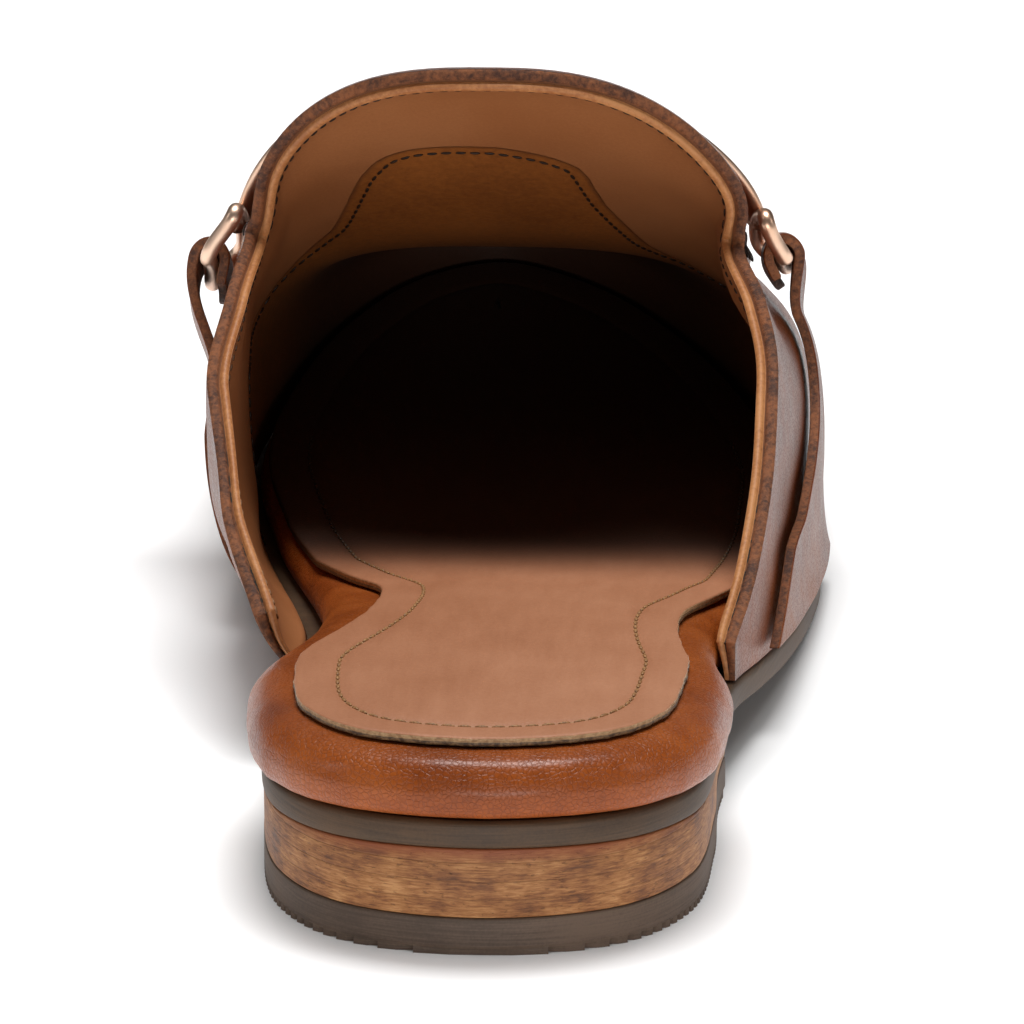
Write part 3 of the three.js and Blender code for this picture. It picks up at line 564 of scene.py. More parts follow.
def inside_inset(along, side):
    lean_in = np.maximum(-swell_at[side](along / SOLE_LENGTH), 0) * BALL_WIDTH
    return FEATHER_INSET + lean_in + lerp(SKIVED_WALL, WALL, 0.6) + FIT_GAP


def rim_offset(along, is_lateral):
    inset = np.where(is_lateral, inside_inset(along, "lateral"), inside_inset(along, "medial"))
    return lerp(RIM_PROUD, -inset, smoothstep(along, *RIM_BLEND))


def rim_height_at(along):
    return lerp(RIM_HEIGHT, FOREFOOT_PAD, smoothstep(along, HEEL_BREAST, THROAT_ALONG))


def footbed_top(along):
    return sole_top(along) + FIT_GAP + rim_height_at(along)


def leather_finish(name, dark, middle, light, grain, relief, roughness, coat, creases=0.3):
    """Dyed and polished leather: pores between small pebbles, burnished in cloudy patches."""
    material, place = new_finish(name)
    warp = place.node("TexNoise", {}, {"Vector": place, "Scale": 500.0, "Detail": 2.0}, "Color")
    shifted = place.node("VectorMath", {"operation": "SCALE"}, {0: warp, "Scale": grain * 0.0007})
    bent = place.node("VectorMath", {"operation": "ADD"}, {0: place, 1: shifted})
    cells = {"Vector": bent, "Scale": 1000 / grain, "Randomness": 0.9}
    pebbles, pores = (
        place.node("TexVoronoi", {"feature": feature}, cells) for feature in ("F1", "DISTANCE_TO_EDGE"))
    fine = noise(place, 2400, 3.0, 0.6)
    clouds = noise(place, 34, 3.0, 0.55)
    blotches = noise(place, 190, 3.0, 0.6)
    pull = noise(place, (150, 60, 260), 3.0, 0.6)
    tone = clouds * 0.5 + blotches * 0.3 + pull * 0.2
    stops = [(0.34, dark), (0.5, middle), (0.66, light)]
    colour = place.node("ValToRGB", {"stops": stops}, {"Fac": tone})
    pit = 1 - pores.between(0.0, 0.16)
    colour = (pit * 0.22).colours(colour, tuple(c * 0.45 for c in dark))
    height = (1 - pebbles) * 0.35 - pit * 0.4 + fine * 0.25 + pull * creases
    rough = roughness + (blotches - 0.5) * 0.22 + pit * 0.12
    end_finish(
        place, Base_Color=colour, Roughness=rough, Normal=height.bump(0.8, relief), Coat_Weight=coat,
        Coat_Roughness=0.22, Specular_IOR_Level=0.25)
    return material


rim_leather = leather_finish(
    "rim_leather", (0.19, 0.036, 0.005), (0.33, 0.072, 0.009), (0.44, 0.110, 0.018),
    0.75, 0.17, 0.34, 0.2)

footbed_outline = offset_outline(base, rim_offset)
draw_in_at = curve_of(RIM_PROFILE, 1)
rim_rise_at = curve_of(RIM_PROFILE, 2)


def waves(place, rows):
    """A sum of sine waves, each row its frequency, its phase and its size."""
    return sum(size * np.sin(place * frequency + phase) for frequency, phase, size in rows)


def pushed_out(ring, middle, amount):
    """Moves a ring's points away from a middle on the plan."""
    away = ring[:, :2] - np.array(middle)
    away /= np.linalg.norm(away, axis=1)[:, None]
    return np.column_stack([ring[:, :2] + away * amount[:, None], ring[:, 2]])


rings = []
for step in np.linspace(0, RIM_PROFILE[-1][0], RIM_STEPS):
    draw_in, rise = draw_in_at(step), rim_rise_at(step)
    outline = offset_outline(footbed_outline, lambda along, lateral: -draw_in * rim_height_at(along))
    ring = ring_of(
        outline, FOOTBED_STATIONS, lambda along: sole_top(along) + FIT_GAP + rise * rim_height_at(along))
    # Soft puckers where the leather is pulled round the heel's curve, most of them low down.
    around = np.arctan2(ring[:, 0], PUCKER_CENTRE - ring[:, 1])
    at_heel = 1 - smoothstep(ring[:, 1], *PUCKER_FADE)
    low_down = (0.35 + 0.65 * (1 - smoothstep(rise, 0.1, 0.6))) * smoothstep(rise, 0.0, 0.08)
    amount = PUCKER_DEPTH * waves(around, PUCKERS) * at_heel * low_down
    rings.append(pushed_out(ring, RIM_MIDDLE, amount))
body = stack_of(rings, FOOTBED_CROSSINGS, lambda along: sole_top(along) + FIT_GAP, footbed_top)
footbed = add_piece("footbed_rim", *body, [rim_leather])
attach(footbed, "root")
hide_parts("footbed")

# The sock: a nude leather cover on thin foam and a grey-brown cloth backing, cut to shape, stitched
# round about 6 mm in from its raw edge and glued down on the footbed.
SOCK_INSET = 6.4
SOCK_STATIONS = 190
SOCK_CROSSINGS = 12
SOCK_MIDDLE = (0.0, 60.0)
SOCK_STITCH_INSET = 6.0
SOCK_STITCH_HEIGHT = 1.16
SOCK_STITCH_END = 190.0
TOE_SHADE = (-0.028, 0.012)

# How far the sock's edge is set in, as a share of its inset at the heel: along, lateral, medial.
SOCK_EDGE = [
    (0.1, 1, 1), (0.2, 0.95, 1.1), (0.33, 0.6, 1.35), (0.37, 0.45, 1.3), (0.42, 0.22, 0.7),
    (0.48, 0.2, 0.2),
]
sock_inset_at = {side: curve_of(SOCK_EDGE, column) for column, side in enumerate(SIDES, 1)}

# The sock in section, from its raw edge over the stitched groove to its cushion: the inset and the
# height. The cushion is a little thicker than the edge.
SOCK_PROFILE = [
    (0.25, 0.0), (0.05, 0.12), (0.0, 0.45), (0.12, 0.6), (0.06, 0.75), (0.0, 1.0), (0.08, 1.2), (0.3, 1.3),
    (0.8, 1.36), (2.5, 1.42), (4.6, 1.42), (5.4, 1.3), (5.8, 1.12), (6.0, 1.06), (6.2, 1.12), (6.8, 1.32),
    (8.0, 1.5), (11.0, 1.62), (15.0, 1.66),
]
CUT_EDGE = [(0.9, 0, 0.4), (2.3, 1, 0.3), (5.1, 2, 0.2), (9.7, 0, 0.15)]


def sock_offset(along, is_lateral):
    share = along / SOLE_LENGTH
    lateral, medial = (sock_inset_at[side](share) for side in SIDES)
    return -SOCK_INSET * np.where(is_lateral, lateral, medial)


sock_outline = offset_outline(footbed_outline, sock_offset)


def over_footbed(up):
    return lambda along: footbed_top(along) + FIT_GAP + up


def sock_ring(inset, up):
    return ring_of(inset_outline(sock_outline, inset), SOCK_STATIONS, over_footbed(up))


rings = []
for inset, up in SOCK_PROFILE:
    ring = sock_ring(inset, up)
    if inset < 1:
        size = 0.22 if up < 1.1 else 0.12
        ring = pushed_out(ring, SOCK_MIDDLE, size * waves(ring[:, 1] * 0.9 + ring[:, 0] * 1.3, CUT_EDGE))
    rings.append(ring)
vertices, faces = stack_of(rings, SOCK_CROSSINGS, over_footbed(0), over_footbed(SOCK_PROFILE[-1][1]))
heights = np.repeat([up for _, up in SOCK_PROFILE], len(rings[0]))
caps = vertices[len(heights):]
on_lid = caps[:, 2] >= footbed_top(caps[:, 1]) + FIT_GAP + 0.5
heights = np.r_[heights, np.where(on_lid, 1.6, 0.0)]


def dark_inside(place, colour, dark):
    """Darkens a colour towards the toe, where the upper keeps the light out."""
    along_shoe = place.node("SeparateXYZ", {}, {"Vector": place}, 1)
    return along_shoe.between(*TOE_SHADE).colours(colour, dark)


material, place = new_finish("sock_leather")
layer = place.node("Attribute", {"attribute_name": "layer"}, {}, "Fac")
clouds = noise(place, 28, 3.0, 0.55)
fine = noise(place, 1500, 3.0, 0.6)
pores = place.node("TexVoronoi", {"feature": "DISTANCE_TO_EDGE"}, {"Vector": place, "Scale": 1700.0})
rub = noise(place, (420, 60, 60), 3.0, 0.6)
tone = clouds * 0.55 + rub * 0.25 + fine * 0.2
colour = place.node("ValToRGB", {"stops": [
    (0.36, (0.40, 0.155, 0.070)), (0.52, (0.47, 0.195, 0.095)), (0.68, (0.54, 0.240, 0.125)),
]}, {"Fac": tone})
cloth = fine.between(0.35, 0.7).colours((0.065, 0.035, 0.016), (0.28, 0.165, 0.075))
fibre = fine.between(0.3, 0.75).colours((0.34, 0.19, 0.085), (0.62, 0.42, 0.22))
colour = layer.between(0.50, 0.62).colours(cloth, layer.between(1.02, 1.2).colours(fibre, colour))
colour = dark_inside(place, colour, (0.035, 0.012, 0.005))
height = fine * 0.5 + (1 - pores.between(0.0, 0.2)) * -0.3 + rub * 0.3
rough = 0.52 + (clouds - 0.5) * 0.2
end_finish(place, Base_Color=colour, Roughness=rough, Normal=height.bump(0.6, 0.12))
sock = add_piece("sock_cover", vertices, faces, [material])
store(sock, "layer", heights)
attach(sock, "root")
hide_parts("sock")

# Stitches are short lengths of waxed thread that dip into the leather at both ends. Each row is made
# along a line of points that carries the leather's outward direction.
stitch_tree = bpy.data.node_groups.new("stitch_row", "GeometryNodeTree")
face_in = stitch_tree.interface
face_in.new_socket("Line", in_out="INPUT", socket_type="NodeSocketGeometry")
for label in ("Pitch", "Along", "Across", "Up"):
    face_in.new_socket(label, in_out="INPUT", socket_type="NodeSocketFloat")
face_in.new_socket("Thread", in_out="INPUT", socket_type="NodeSocketMaterial")
face_in.new_socket("Stitches", in_out="OUTPUT", socket_type="NodeSocketGeometry")
stitch_in = stitch_tree.nodes.new("NodeGroupInput")
stitch_out = stitch_tree.nodes.new("NodeGroupOutput")


def tree_node(kind, settings=None, links=None):
    """A geometry node with its settings and the sockets that feed it."""
    made = stitch_tree.nodes.new(kind)
    for name, value in (settings or {}).items():
        setattr(made, name, value)
    for name, value in (links or {}).items():
        if isinstance(value, bpy.types.NodeSocket):
            stitch_tree.links.new(value, made.inputs[name])
        else:
            made.inputs[name].default_value = value
    return made


line = tree_node("GeometryNodeMeshToCurve", links={"Mesh": stitch_in.outputs["Line"]})
spaced = tree_node("GeometryNodeResampleCurve", {"mode": "LENGTH"},
                   {"Curve": line.outputs[0], "Length": stitch_in.outputs["Pitch"]})
bead = tree_node("GeometryNodeMeshUVSphere", links={"Segments": 8, "Rings": 6, "Radius": 1.0})
tangent = tree_node("GeometryNodeInputTangent")
outward = tree_node("GeometryNodeInputNamedAttribute", {"data_type": "FLOAT_VECTOR"}, {"Name": "outward"})
turned = tree_node("FunctionNodeAlignRotationToVector", {"axis": "X"}, {"Vector": tangent.outputs[0]})
laid = tree_node("FunctionNodeAlignRotationToVector", {"axis": "Z", "pivot_axis": "X"},
                 {"Rotation": turned.outputs[0], "Vector": outward.outputs[0]})
size = tree_node("ShaderNodeCombineXYZ", links={
    "X": stitch_in.outputs["Along"], "Y": stitch_in.outputs["Across"], "Z": stitch_in.outputs["Up"]})
placed = tree_node("GeometryNodeInstanceOnPoints", links={
    "Points": spaced.outputs[0], "Instance": bead.outputs[0],
    "Rotation": laid.outputs[0], "Scale": size.outputs[0]})
real = tree_node("GeometryNodeRealizeInstances", links={"Geometry": placed.outputs[0]})
smooth = tree_node("GeometryNodeSetShadeSmooth", links={"Geometry": real.outputs[0]})
threaded = tree_node("GeometryNodeSetMaterial", links={
    "Geometry": smooth.outputs[0], "Material": stitch_in.outputs["Thread"]})
stitch_tree.links.new(threaded.outputs[0], stitch_out.inputs[0])


def thread_finish(name, dark, light):
    """Twisted polyester thread."""
    material, place = new_finish(name)
    twist = noise(place, 3500, 2.0)
    colour = twist.between(0.3, 0.7).colours(dark, light)
    colour = dark_inside(place, colour, tuple(c * 0.12 for c in dark))
    rough = 0.55 + (twist - 0.5) * 0.2
    end_finish(place, Base_Color=colour, Roughness=rough, Normal=twist.bump(0.6, 0.1))
    return material


def add_stitches(name, points, directions, thread, pitch, size, slot="upper_leather"):
    """One mesh of stitches along a line of points, each with its outward direction."""
    mesh = bpy.data.meshes.new(name)
    joined = [(i, i + 1) for i in range(len(points) - 1)]
    mesh.from_pydata(((points + shift) / 1000).tolist(), joined, [])
    outward_at = mesh.attributes.new("outward", "FLOAT_VECTOR", "POINT")
    outward_at.data.foreach_set("vector", np.asarray(directions, np.float32).ravel())
    row = bpy.data.objects.new(name + "_line", mesh)
    bpy.context.scene.collection.objects.link(row)
    maker = row.modifiers.new("stitches", "NODES")
    maker.node_group = stitch_tree
    values = {"Pitch": pitch / 1000, "Thread": thread}
    values |= {label: length / 1000 for label, length in zip(("Along", "Across", "Up"), size)}
    for socket in face_in.items_tree:
        if socket.item_type == "SOCKET" and socket.in_out == "INPUT" and socket.name in values:
            maker[socket.identifier] = values[socket.name]
    bpy.context.view_layer.update()
    graph = bpy.context.evaluated_depsgraph_get()
    made = bpy.data.meshes.new_from_object(row.evaluated_get(graph))
    bpy.data.objects.remove(row)
    piece = bpy.data.objects.new(name, made)
    bpy.context.scene.collection.objects.link(piece)
    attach(piece, "root")


tan_thread = thread_finish("tan_thread", (0.22, 0.095, 0.030), (0.50, 0.26, 0.10))
brown_thread = thread_finish("brown_thread", (0.16, 0.065, 0.022), (0.34, 0.16, 0.06))

# The sock's row runs from under the apron back round the heel.
row = np.roll(sock_ring(SOCK_STITCH_INSET, SOCK_STITCH_HEIGHT), SOCK_STATIONS, axis=0)
row = row[row[:, 1] < SOCK_STITCH_END]
upright = np.tile([0, 0, 1], (len(row), 1))
add_stitches("sock_stitches", row, upright, tan_thread, 2.3, (0.95, 0.3, 0.26), "sock_leather")

# The upper: apron and side leather joined in a raised seam round the toe, lined inside, and open
# behind as a mule. It is lasted over the feather line and closed below by the sole. A tan leather
# facing is stitched in along the opening, over a softer orange-brown quarter lining.
SKIVE_HEIGHT = 9.0
QUARTER_REAR = {"lateral": 74.0, "medial": 78.0}
INSTEP_HEIGHT = 88.0
COLLAR_END_HEIGHT = 54.0
PINCH_DEPTH = {"medial": 1.6, "lateral": 5.6}
PINCH_SPREAD = 0.1
THROAT_SEAM_RISE = 0.34
TOE_SEAM_RISE = 0.62
TUCK_ANGLE = 1.25
QUARTER_STEPS = 52
THROAT_STEPS = 74
SIDE_STEPS = 46
APRON_STEPS = 34
SEAM_HEIGHT = 0.9
SEAM_SPREAD = 1.1
GUTTER_DEPTH = 0.35
GUTTER_PLACE = 2.6
SLACK_SHARE = 0.6
LINING_SHADE = (30, 90)
FAR_FROM_FACING = 50.0
ON_CUT_EDGE = 5.0

# The middle: along, the crown as a share of the instep's height, how much the seam draws in.
MIDDLE = [
    (0.24, 0.89, 0), (0.31, 0.92, 0), (0.39, 0.93, 0), (0.47, 0.94, 0), (0.54, 0.95, 0.3),
    (0.605, 0.79, 1), (0.65, 0.67, 0.8), (0.71, 0.545, 0.35), (0.79, 0.445, 0.15), (0.88, 0.38, 0),
    (0.99, 0.34, 0),
]

# Where a rib that starts on the feather line reaches the crown, and the crown's place across.
CROWN_ALONG = [(0.24, 0.22), (0.4, 0.36), (0.605, 0.54), (0.7, 0.64), (0.8, 0.73), (0.9, 0.81), (1, 0.88)]
CROWN_ACROSS = [(0.19, -0.02), (0.5, -0.02), (0.7, -0.05), (1, -0.055)]

# The collar from the side: along, and its height as a share of the collar's end height.
COLLAR = [
    (0.27, 0.33), (0.31, 0.4), (0.35, 0.49), (0.4, 0.61), (0.45, 0.735), (0.5, 0.85), (0.55, 0.95),
    (0.6, 1),
]
crown_at = curve_of(MIDDLE, 1)
pinch_at = curve_of(MIDDLE, 2)
crown_along_at = curve_of(CROWN_ALONG)
crown_across_at = curve_of(CROWN_ACROSS)
collar_at = curve_of(COLLAR)
feather = inset_outline(base, FEATHER_INSET)


def pinch_rise(along):
    return lerp(THROAT_SEAM_RISE, TOE_SEAM_RISE, smoothstep(along, THROAT_ALONG, SOLE_LENGTH))


def rib_point(side, along, rise, hollow=1.0):
    """The outer surface: rise is -1 at the feather line, 0 at the widest line and 1 at the crown.
    "hollow" is the share of the seam's pinch that is kept."""
    along, rise = np.broadcast_arrays(np.asarray(along, float), np.asarray(rise, float))
    share = along / SOLE_LENGTH
    foot, out = side_frame(feather, side, along)
    swell = swell_at[side](share) * BALL_WIDTH
    wide = foot + out * swell[..., None]
    foot_height = sole_top(along) + FIT_GAP
    wide_height = foot_height + wide_at[side](share) * BALL_WIDTH
    tuck = np.clip(-rise, 0, 1) * TUCK_ANGLE
    drawn = swell * (1 - np.cos(tuck)) / (1 - np.cos(TUCK_ANGLE))
    low_plan = wide - out * drawn[..., None]
    low_height = wide_height - (wide_height - foot_height) * np.sin(tuck) / np.sin(TUCK_ANGLE)
    crown_share = crown_along_at(share)
    crown_x = crown_across_at(crown_share) * BALL_WIDTH
    crown_y = crown_share * SOLE_LENGTH
    crown_z = crown_at(crown_share) * INSTEP_HEIGHT
    arch = arch_at[side](share)
    climb = np.clip(rise, 0, 1)
    angle = climb ** (1 / arch) * np.pi / 2
    outwards = np.clip(np.cos(angle), 0, 1) ** arch
    upwards = np.sin(angle) ** arch
    from_seam = (climb - pinch_rise(along)) / PINCH_SPREAD
    pinch = hollow * pinch_at(share) * PINCH_DEPTH[side] * np.exp(-(from_seam**2))
    x = lerp(crown_x, wide[..., 0], outwards) - out[..., 0] * pinch
    y = lerp(crown_y, wide[..., 1], outwards**2) - out[..., 1] * pinch
    z = lerp(wide_height, crown_z, upwards)
    low = np.stack([low_plan[..., 0], low_plan[..., 1], low_height], axis=-1)
    return np.where((rise <= 0)[..., None], low, np.stack([x, y, z], axis=-1))


def collar_rise(side, along):
    low = -np.ones_like(along)
    high = np.ones_like(along)
    for _ in range(40):
        middle = (low + high) / 2
        p = rib_point(side, along, middle)
        under = p[..., 2] < collar_at(p[..., 1] / SOLE_LENGTH) * COLLAR_END_HEIGHT
        low = np.where(under, middle, low)
        high = np.where(under, high, middle)
    return low


throat_rise = {side: float(collar_rise(side, np.array([THROAT_ALONG]))[0]) for side in SIDES}


def seam_rise(side, along):
    front = lerp(throat_rise[side], TOE_SEAM_RISE, smoothstep(along, THROAT_ALONG, feather["front"]))
    return np.where(along <= THROAT_ALONG, collar_rise(side, along), front)


def side_grid(side):
    """One side's outer points, a row a station, from the feather line over the seam to the crown."""
    quarter = lerp(QUARTER_REAR[side], THROAT_ALONG, np.arange(QUARTER_STEPS) / QUARTER_STEPS)
    forward = np.sin(np.pi / 2 * np.arange(THROAT_STEPS + 1) / THROAT_STEPS)
    along = np.r_[quarter, lerp(THROAT_ALONG, feather["front"], forward)]
    seam = seam_rise(side, along)[:, None]
    low = lerp(seam, -1, (1 - np.arange(SIDE_STEPS + 1) / SIDE_STEPS) ** 1.6)
    high = lerp(seam, 1, ((np.arange(APRON_STEPS) + 1) / APRON_STEPS) ** 1.4)
    rises = np.hstack([low, high])
    return rib_point(side, along[:, None], rises), along, rises


columns = SIDE_STEPS + 1 + APRON_STEPS
welded = {}
outer = []
number = {}
lateral_points = set()
for side in SIDES:
    grid, side_along, side_rises = side_grid(side)
    for i in range(len(grid)):
        last = SIDE_STEPS + 1 if i < QUARTER_STEPS else columns
        steps = np.linalg.norm(np.diff(grid[i], axis=0), axis=1)
        run = np.r_[0, np.cumsum(steps)]
        from_seam = run - run[SIDE_STEPS]
        for j in range(last):
            key = tuple(np.round(grid[i, j], 3))
            if key not in welded:
                welded[key] = len(outer)
                outer.append((*grid[i, j], from_seam[j], side_along[i], side_rises[i, j]))
                if side == "lateral":
                    lateral_points.add(welded[key])
            number[side, i, j] = welded[key]
outer = np.array(outer)
seam_distance = outer[:, 3]
station = outer[:, 4]
rise_of = outer[:, 5]
outer = outer[:, :3]
sheet_faces = []
stations = QUARTER_STEPS + THROAT_STEPS
for side in SIDES:
    for i in range(stations):
        last = SIDE_STEPS if i < QUARTER_STEPS else columns - 1
        for j in range(last):
            corners = ((i, j), (i + 1, j), (i + 1, j + 1), (i, j + 1))
            face = [number[side, *corner] for corner in corners]
            if side == "medial":
                face.reverse()
            kept = [v for n, v in enumerate(face) if v != face[n - 1]]
            if len(kept) > 2:
                sheet_faces.append(kept)


def sheet_normals(points, faces):
    total = np.zeros_like(points)
    for face in faces:
        corners = points[face]
        normal = np.zeros(3)
        for n in range(1, len(face) - 1):
            normal += np.cross(corners[n] - corners[0], corners[n + 1] - corners[0])
        total[face] += normal
    return total / (np.linalg.norm(total, axis=1)[:, None] + 1e-12)


normal = sheet_normals(outer, sheet_faces)
wall = lerp(SKIVED_WALL, WALL, smoothstep(outer[:, 2] - sole_top(outer[:, 1]), 0, SKIVE_HEIGHT))
inner = outer - normal * wall[:, None]
on_sole = outer[:, 2] < sole_top(outer[:, 1]) + FIT_GAP + 0.01
inner[on_sole, 2] = outer[on_sole, 2]

# The opening's edge runs up the lateral side, over the instep and down the medial side.
quarter_edge = [("lateral", 0, j) for j in range(SIDE_STEPS + 1)]
quarter_edge += [("lateral", i, SIDE_STEPS) for i in range(1, QUARTER_STEPS + 1)]
quarter_edge += [("lateral", QUARTER_STEPS, j) for j in range(SIDE_STEPS + 1, columns)]
other_side = [("medial", QUARTER_STEPS, j) for j in range(columns - 2, SIDE_STEPS, -1)]
other_side += [("medial", i, SIDE_STEPS) for i in range(QUARTER_STEPS, 0, -1)]
other_side += [("medial", 0, j) for j in range(SIDE_STEPS, -1, -1)]
opening = [number[key] for key in quarter_edge + other_side]
edge_line = outer[opening]
edge_run = np.r_[0, np.cumsum(np.linalg.norm(np.diff(edge_line, axis=0), axis=1))]
edge_share = edge_run / edge_run[-1]


def tree_of(points):
    """The points in a form that finds the nearest ones quickly."""
    tree = KDTree(len(points))
    for n, p in enumerate(points):
        tree.insert(Vector(p), n)
    tree.balance()
    return tree


# How far every point of the lining lies from the opening, and beside which part of it.
tree = tree_of(inner[opening])
found = [tree.find(Vector(p)) for p in inner]
from_edge = np.array([distance for _, _, distance in found])
beside = edge_share[[nearest for _, nearest, _ in found]]

# The facing's front edge: the rise, and how far along it lies, medial and lateral. It leaves a window
# with a flat top under the throat, and runs down and back from its two corners.
FACING = [
    (-1, 118, 130), (-0.9, 146, 150), (-0.7, 160, 168), (-0.4, 160, 178), (0, 160, 188), (0.12, 170, 193),
    (0.3, 187, 199), (0.5, 190, 203), (0.62, 188, 202), (0.69, 181, 198), (0.74, 175, 192), (0.8, 172, 184),
    (0.86, 171.5, 175), (1, 172, 172),
]
facing_at = {"medial": curve_of(FACING, 1), "lateral": curve_of(FACING, 2)}
FACING_SAMPLES = 700
line_rise = np.linspace(-1, 1, FACING_SAMPLES)
medial_line, lateral_line = (
    rib_point(side, facing_at[side](line_rise), line_rise) for side in ("medial", "lateral"))
facing_line = np.vstack([medial_line, lateral_line[::-1]])
tree = tree_of(facing_line)
facing_edge = np.array([tree.find(Vector(p))[2] for p in outer])
for n in range(len(outer)):
    side = "lateral" if n in lateral_points else "medial"
    if station[n] > facing_at[side](rise_of[n]):
        facing_edge[n] = -facing_edge[n]

# The side seam's raised pleat on the outside, from the end of the collar forwards, with a gutter on
# both sides of it.
fade = smoothstep(station, THROAT_ALONG - 4, THROAT_ALONG + 10)
pleat = SEAM_HEIGHT * np.exp(-((seam_distance / SEAM_SPREAD) ** 2))
gutter = GUTTER_DEPTH * np.exp(-((np.abs(seam_distance) - GUTTER_PLACE) ** 2))
raised = outer + normal * ((pleat - gutter) * fade)[:, None]


def crease(points, path, width, depth):
    """How deep a soft trough along a path lies at each point, or a ridge where depth is negative."""
    amount = np.zeros(len(points))
    for a, b in zip(path, path[1:]):
        a, b = np.array(a, float), np.array(b, float)
        t = np.clip(((points - a) @ (b - a)) / ((b - a) @ (b - a)), 0, 1)
        gap = np.linalg.norm(points - (a + t[:, None] * (b - a)), axis=1)
        amount = np.maximum(amount, np.exp(-((gap / width) ** 2)))
    return depth * amount


# Slight hollows where the leather settles beside the seam, over the ball and under the throat: the
# path of each, its width and its depth.
SETTLED = [
    ([(-34, 176, 40), (-26, 168, 55), (-14, 164, 66)], 4.0, 0.5),
    ([(33, 172, 36), (26, 166, 50), (14, 164, 62)], 4.0, 0.5),
    ([(38, 112, 26), (40, 140, 20), (36, 168, 18)], 6.0, 0.4),
    ([(-40, 96, 34), (-42, 124, 30)], 7.0, 0.4),
]
# Slack folds in the lining, each a trough with a ridge behind it.
SLACK = [
    ([(-40, 150, 40), (-32, 158, 48), (-22, 166, 52)], 2.6, 0.9),
    ([(-41, 140, 42), (-33, 150, 50)], 2.4, -0.5),
    ([(36, 150, 34), (30, 160, 44)], 2.6, 0.8),
    ([(37, 142, 36), (32, 150, 44)], 2.2, -0.4),
]
settled = sum(crease(raised, *row) for row in SETTLED)
raised -= normal * settled[:, None]
slack = sum(crease(inner, *row) for row in SLACK) * smoothstep(from_edge, 2, 8)
inner += normal * slack[:, None] * SLACK_SHARE

# The cut edge: raw leather outside, a dark tape line, and the lining's turned edge inside. Each row is
# a share of the wall's thickness, how far the edge bulges there, and the layer that is cut.
EDGE_LAYERS = [
    (0.00, 0.0, 0), (0.03, 0.16, 0), (0.12, 0.30, 0), (0.26, 0.34, 0), (0.40, 0.30, 0), (0.50, 0.14, 0),
    (0.54, -0.25, 1), (0.60, -0.30, 1), (0.64, 0.05, 2), (0.72, 0.36, 2), (0.82, 0.44, 2), (0.92, 0.30, 2),
    (0.98, 0.12, 2), (1.0, 0.0, 2),
]
ahead = np.gradient(edge_line, axis=0)
ahead /= np.linalg.norm(ahead, axis=1)[:, None]
edge_out = np.cross(ahead, normal[opening])
edge_out /= np.linalg.norm(edge_out, axis=1)[:, None]
crown = number["lateral", QUARTER_STEPS, columns - 1]
ahead_of_crown = number["lateral", QUARTER_STEPS + 3, columns - 1]
if edge_out[opening.index(crown)] @ (outer[ahead_of_crown] - outer[crown]) > 0:
    edge_out = -edge_out
wobble = waves(edge_run, [(0.55, 0, 0.10), (1.7, 1, 0.07), (3.9, 2, 0.05)])
ends = smoothstep(edge_share, 0, 0.02) * (1 - smoothstep(edge_share, 0.98, 1))

vertices = [*raised, *inner]
inner_start = len(outer)
faces = [list(face) for face in sheet_faces]
materials_of = [0] * len(faces)
faces += [[v + inner_start for v in reversed(face)] for face in sheet_faces]
materials_of += [1] * len(sheet_faces)
layer_rows = []
for share, bulge, _ in EDGE_LAYERS:
    if share == 0:
        layer_rows.append(list(opening))
    elif share == 1:
        layer_rows.append([v + inner_start for v in opening])
    else:
        rough = wobble * (1.0 if share < 0.5 else 0.35)
        out = (bulge + rough * 0.6) * ends
        row = lerp(raised[opening], inner[opening], share) + edge_out * out[:, None]
        layer_rows.append(list(range(len(vertices), len(vertices) + len(row))))
        vertices += [*row]
for (low_row, high_row), (_, _, kind) in zip(zip(layer_rows, layer_rows[1:]), EDGE_LAYERS[1:]):
    for n in range(len(opening) - 1):
        faces.append([low_row[n], high_row[n], high_row[n + 1], low_row[n + 1]])
        materials_of.append(2 + kind)

feather_line = [number["lateral", i, 0] for i in range(stations + 1)]
feather_line += [number["medial", i, 0] for i in range(stations - 1, -1, -1)]
for n in range(len(feather_line) - 1):
    a, b = feather_line[n], feather_line[n + 1]
    face = [a, a + inner_start, b + inner_start, b]
    if n == 0:
        face = [row[0] for row in layer_rows] + [b + inner_start, b]
    if n == len(feather_line) - 2:
        face = [a, a + inner_start] + [row[-1] for row in reversed(layer_rows)]
    faces.append(face)
    materials_of.append(0)

upper_leather = leather_finish(
    "upper_leather", (0.10, 0.020, 0.003), (0.18, 0.038, 0.005), (0.27, 0.064, 0.010),
    0.7, 0.12, 0.33, 0.05, 0.2)

# The facing is smooth tan leather, and the quarter lining beyond its stitched edge is brushed.
material, place = new_finish("upper_lining")
edge = place.node("Attribute", {"attribute_name": "facing_edge"}, {}, "Fac")
on_facing = edge.between(-0.12, 0.12)
clouds = noise(place, 30, 3.0, 0.55)
brushed = noise(place, 900, 4.0, 0.7)
fine = noise(place, 2200, 2.0, 0.6)
tan_tone = (clouds * 0.7 + fine * 0.3).between(0.35, 0.65)
smooth_tan = tan_tone.colours((0.36, 0.130, 0.042), (0.44, 0.175, 0.064))
suede_tone = (clouds * 0.5 + brushed * 0.5).between(0.34, 0.66)
suede = suede_tone.colours((0.22, 0.066, 0.010), (0.38, 0.122, 0.020))
colour = on_facing.colours(suede, smooth_tan)
# Painted shadow: a thin dark band on the lining just past the facing's raised edge.
shade = (edge.between(-0.9, -0.15) - edge.between(-0.15, 0.1)) * 0.55
colour = shade.colours(colour, (0.09, 0.03, 0.01))
# Painted shade: the lining turns near-black the further it lies from the opening, deeper inside the shoe.
depth = place.node("Attribute", {"attribute_name": "depth"}, {}, "Fac")
colour = depth.between(*LINING_SHADE).colours(colour, (0.045, 0.014, 0.004))
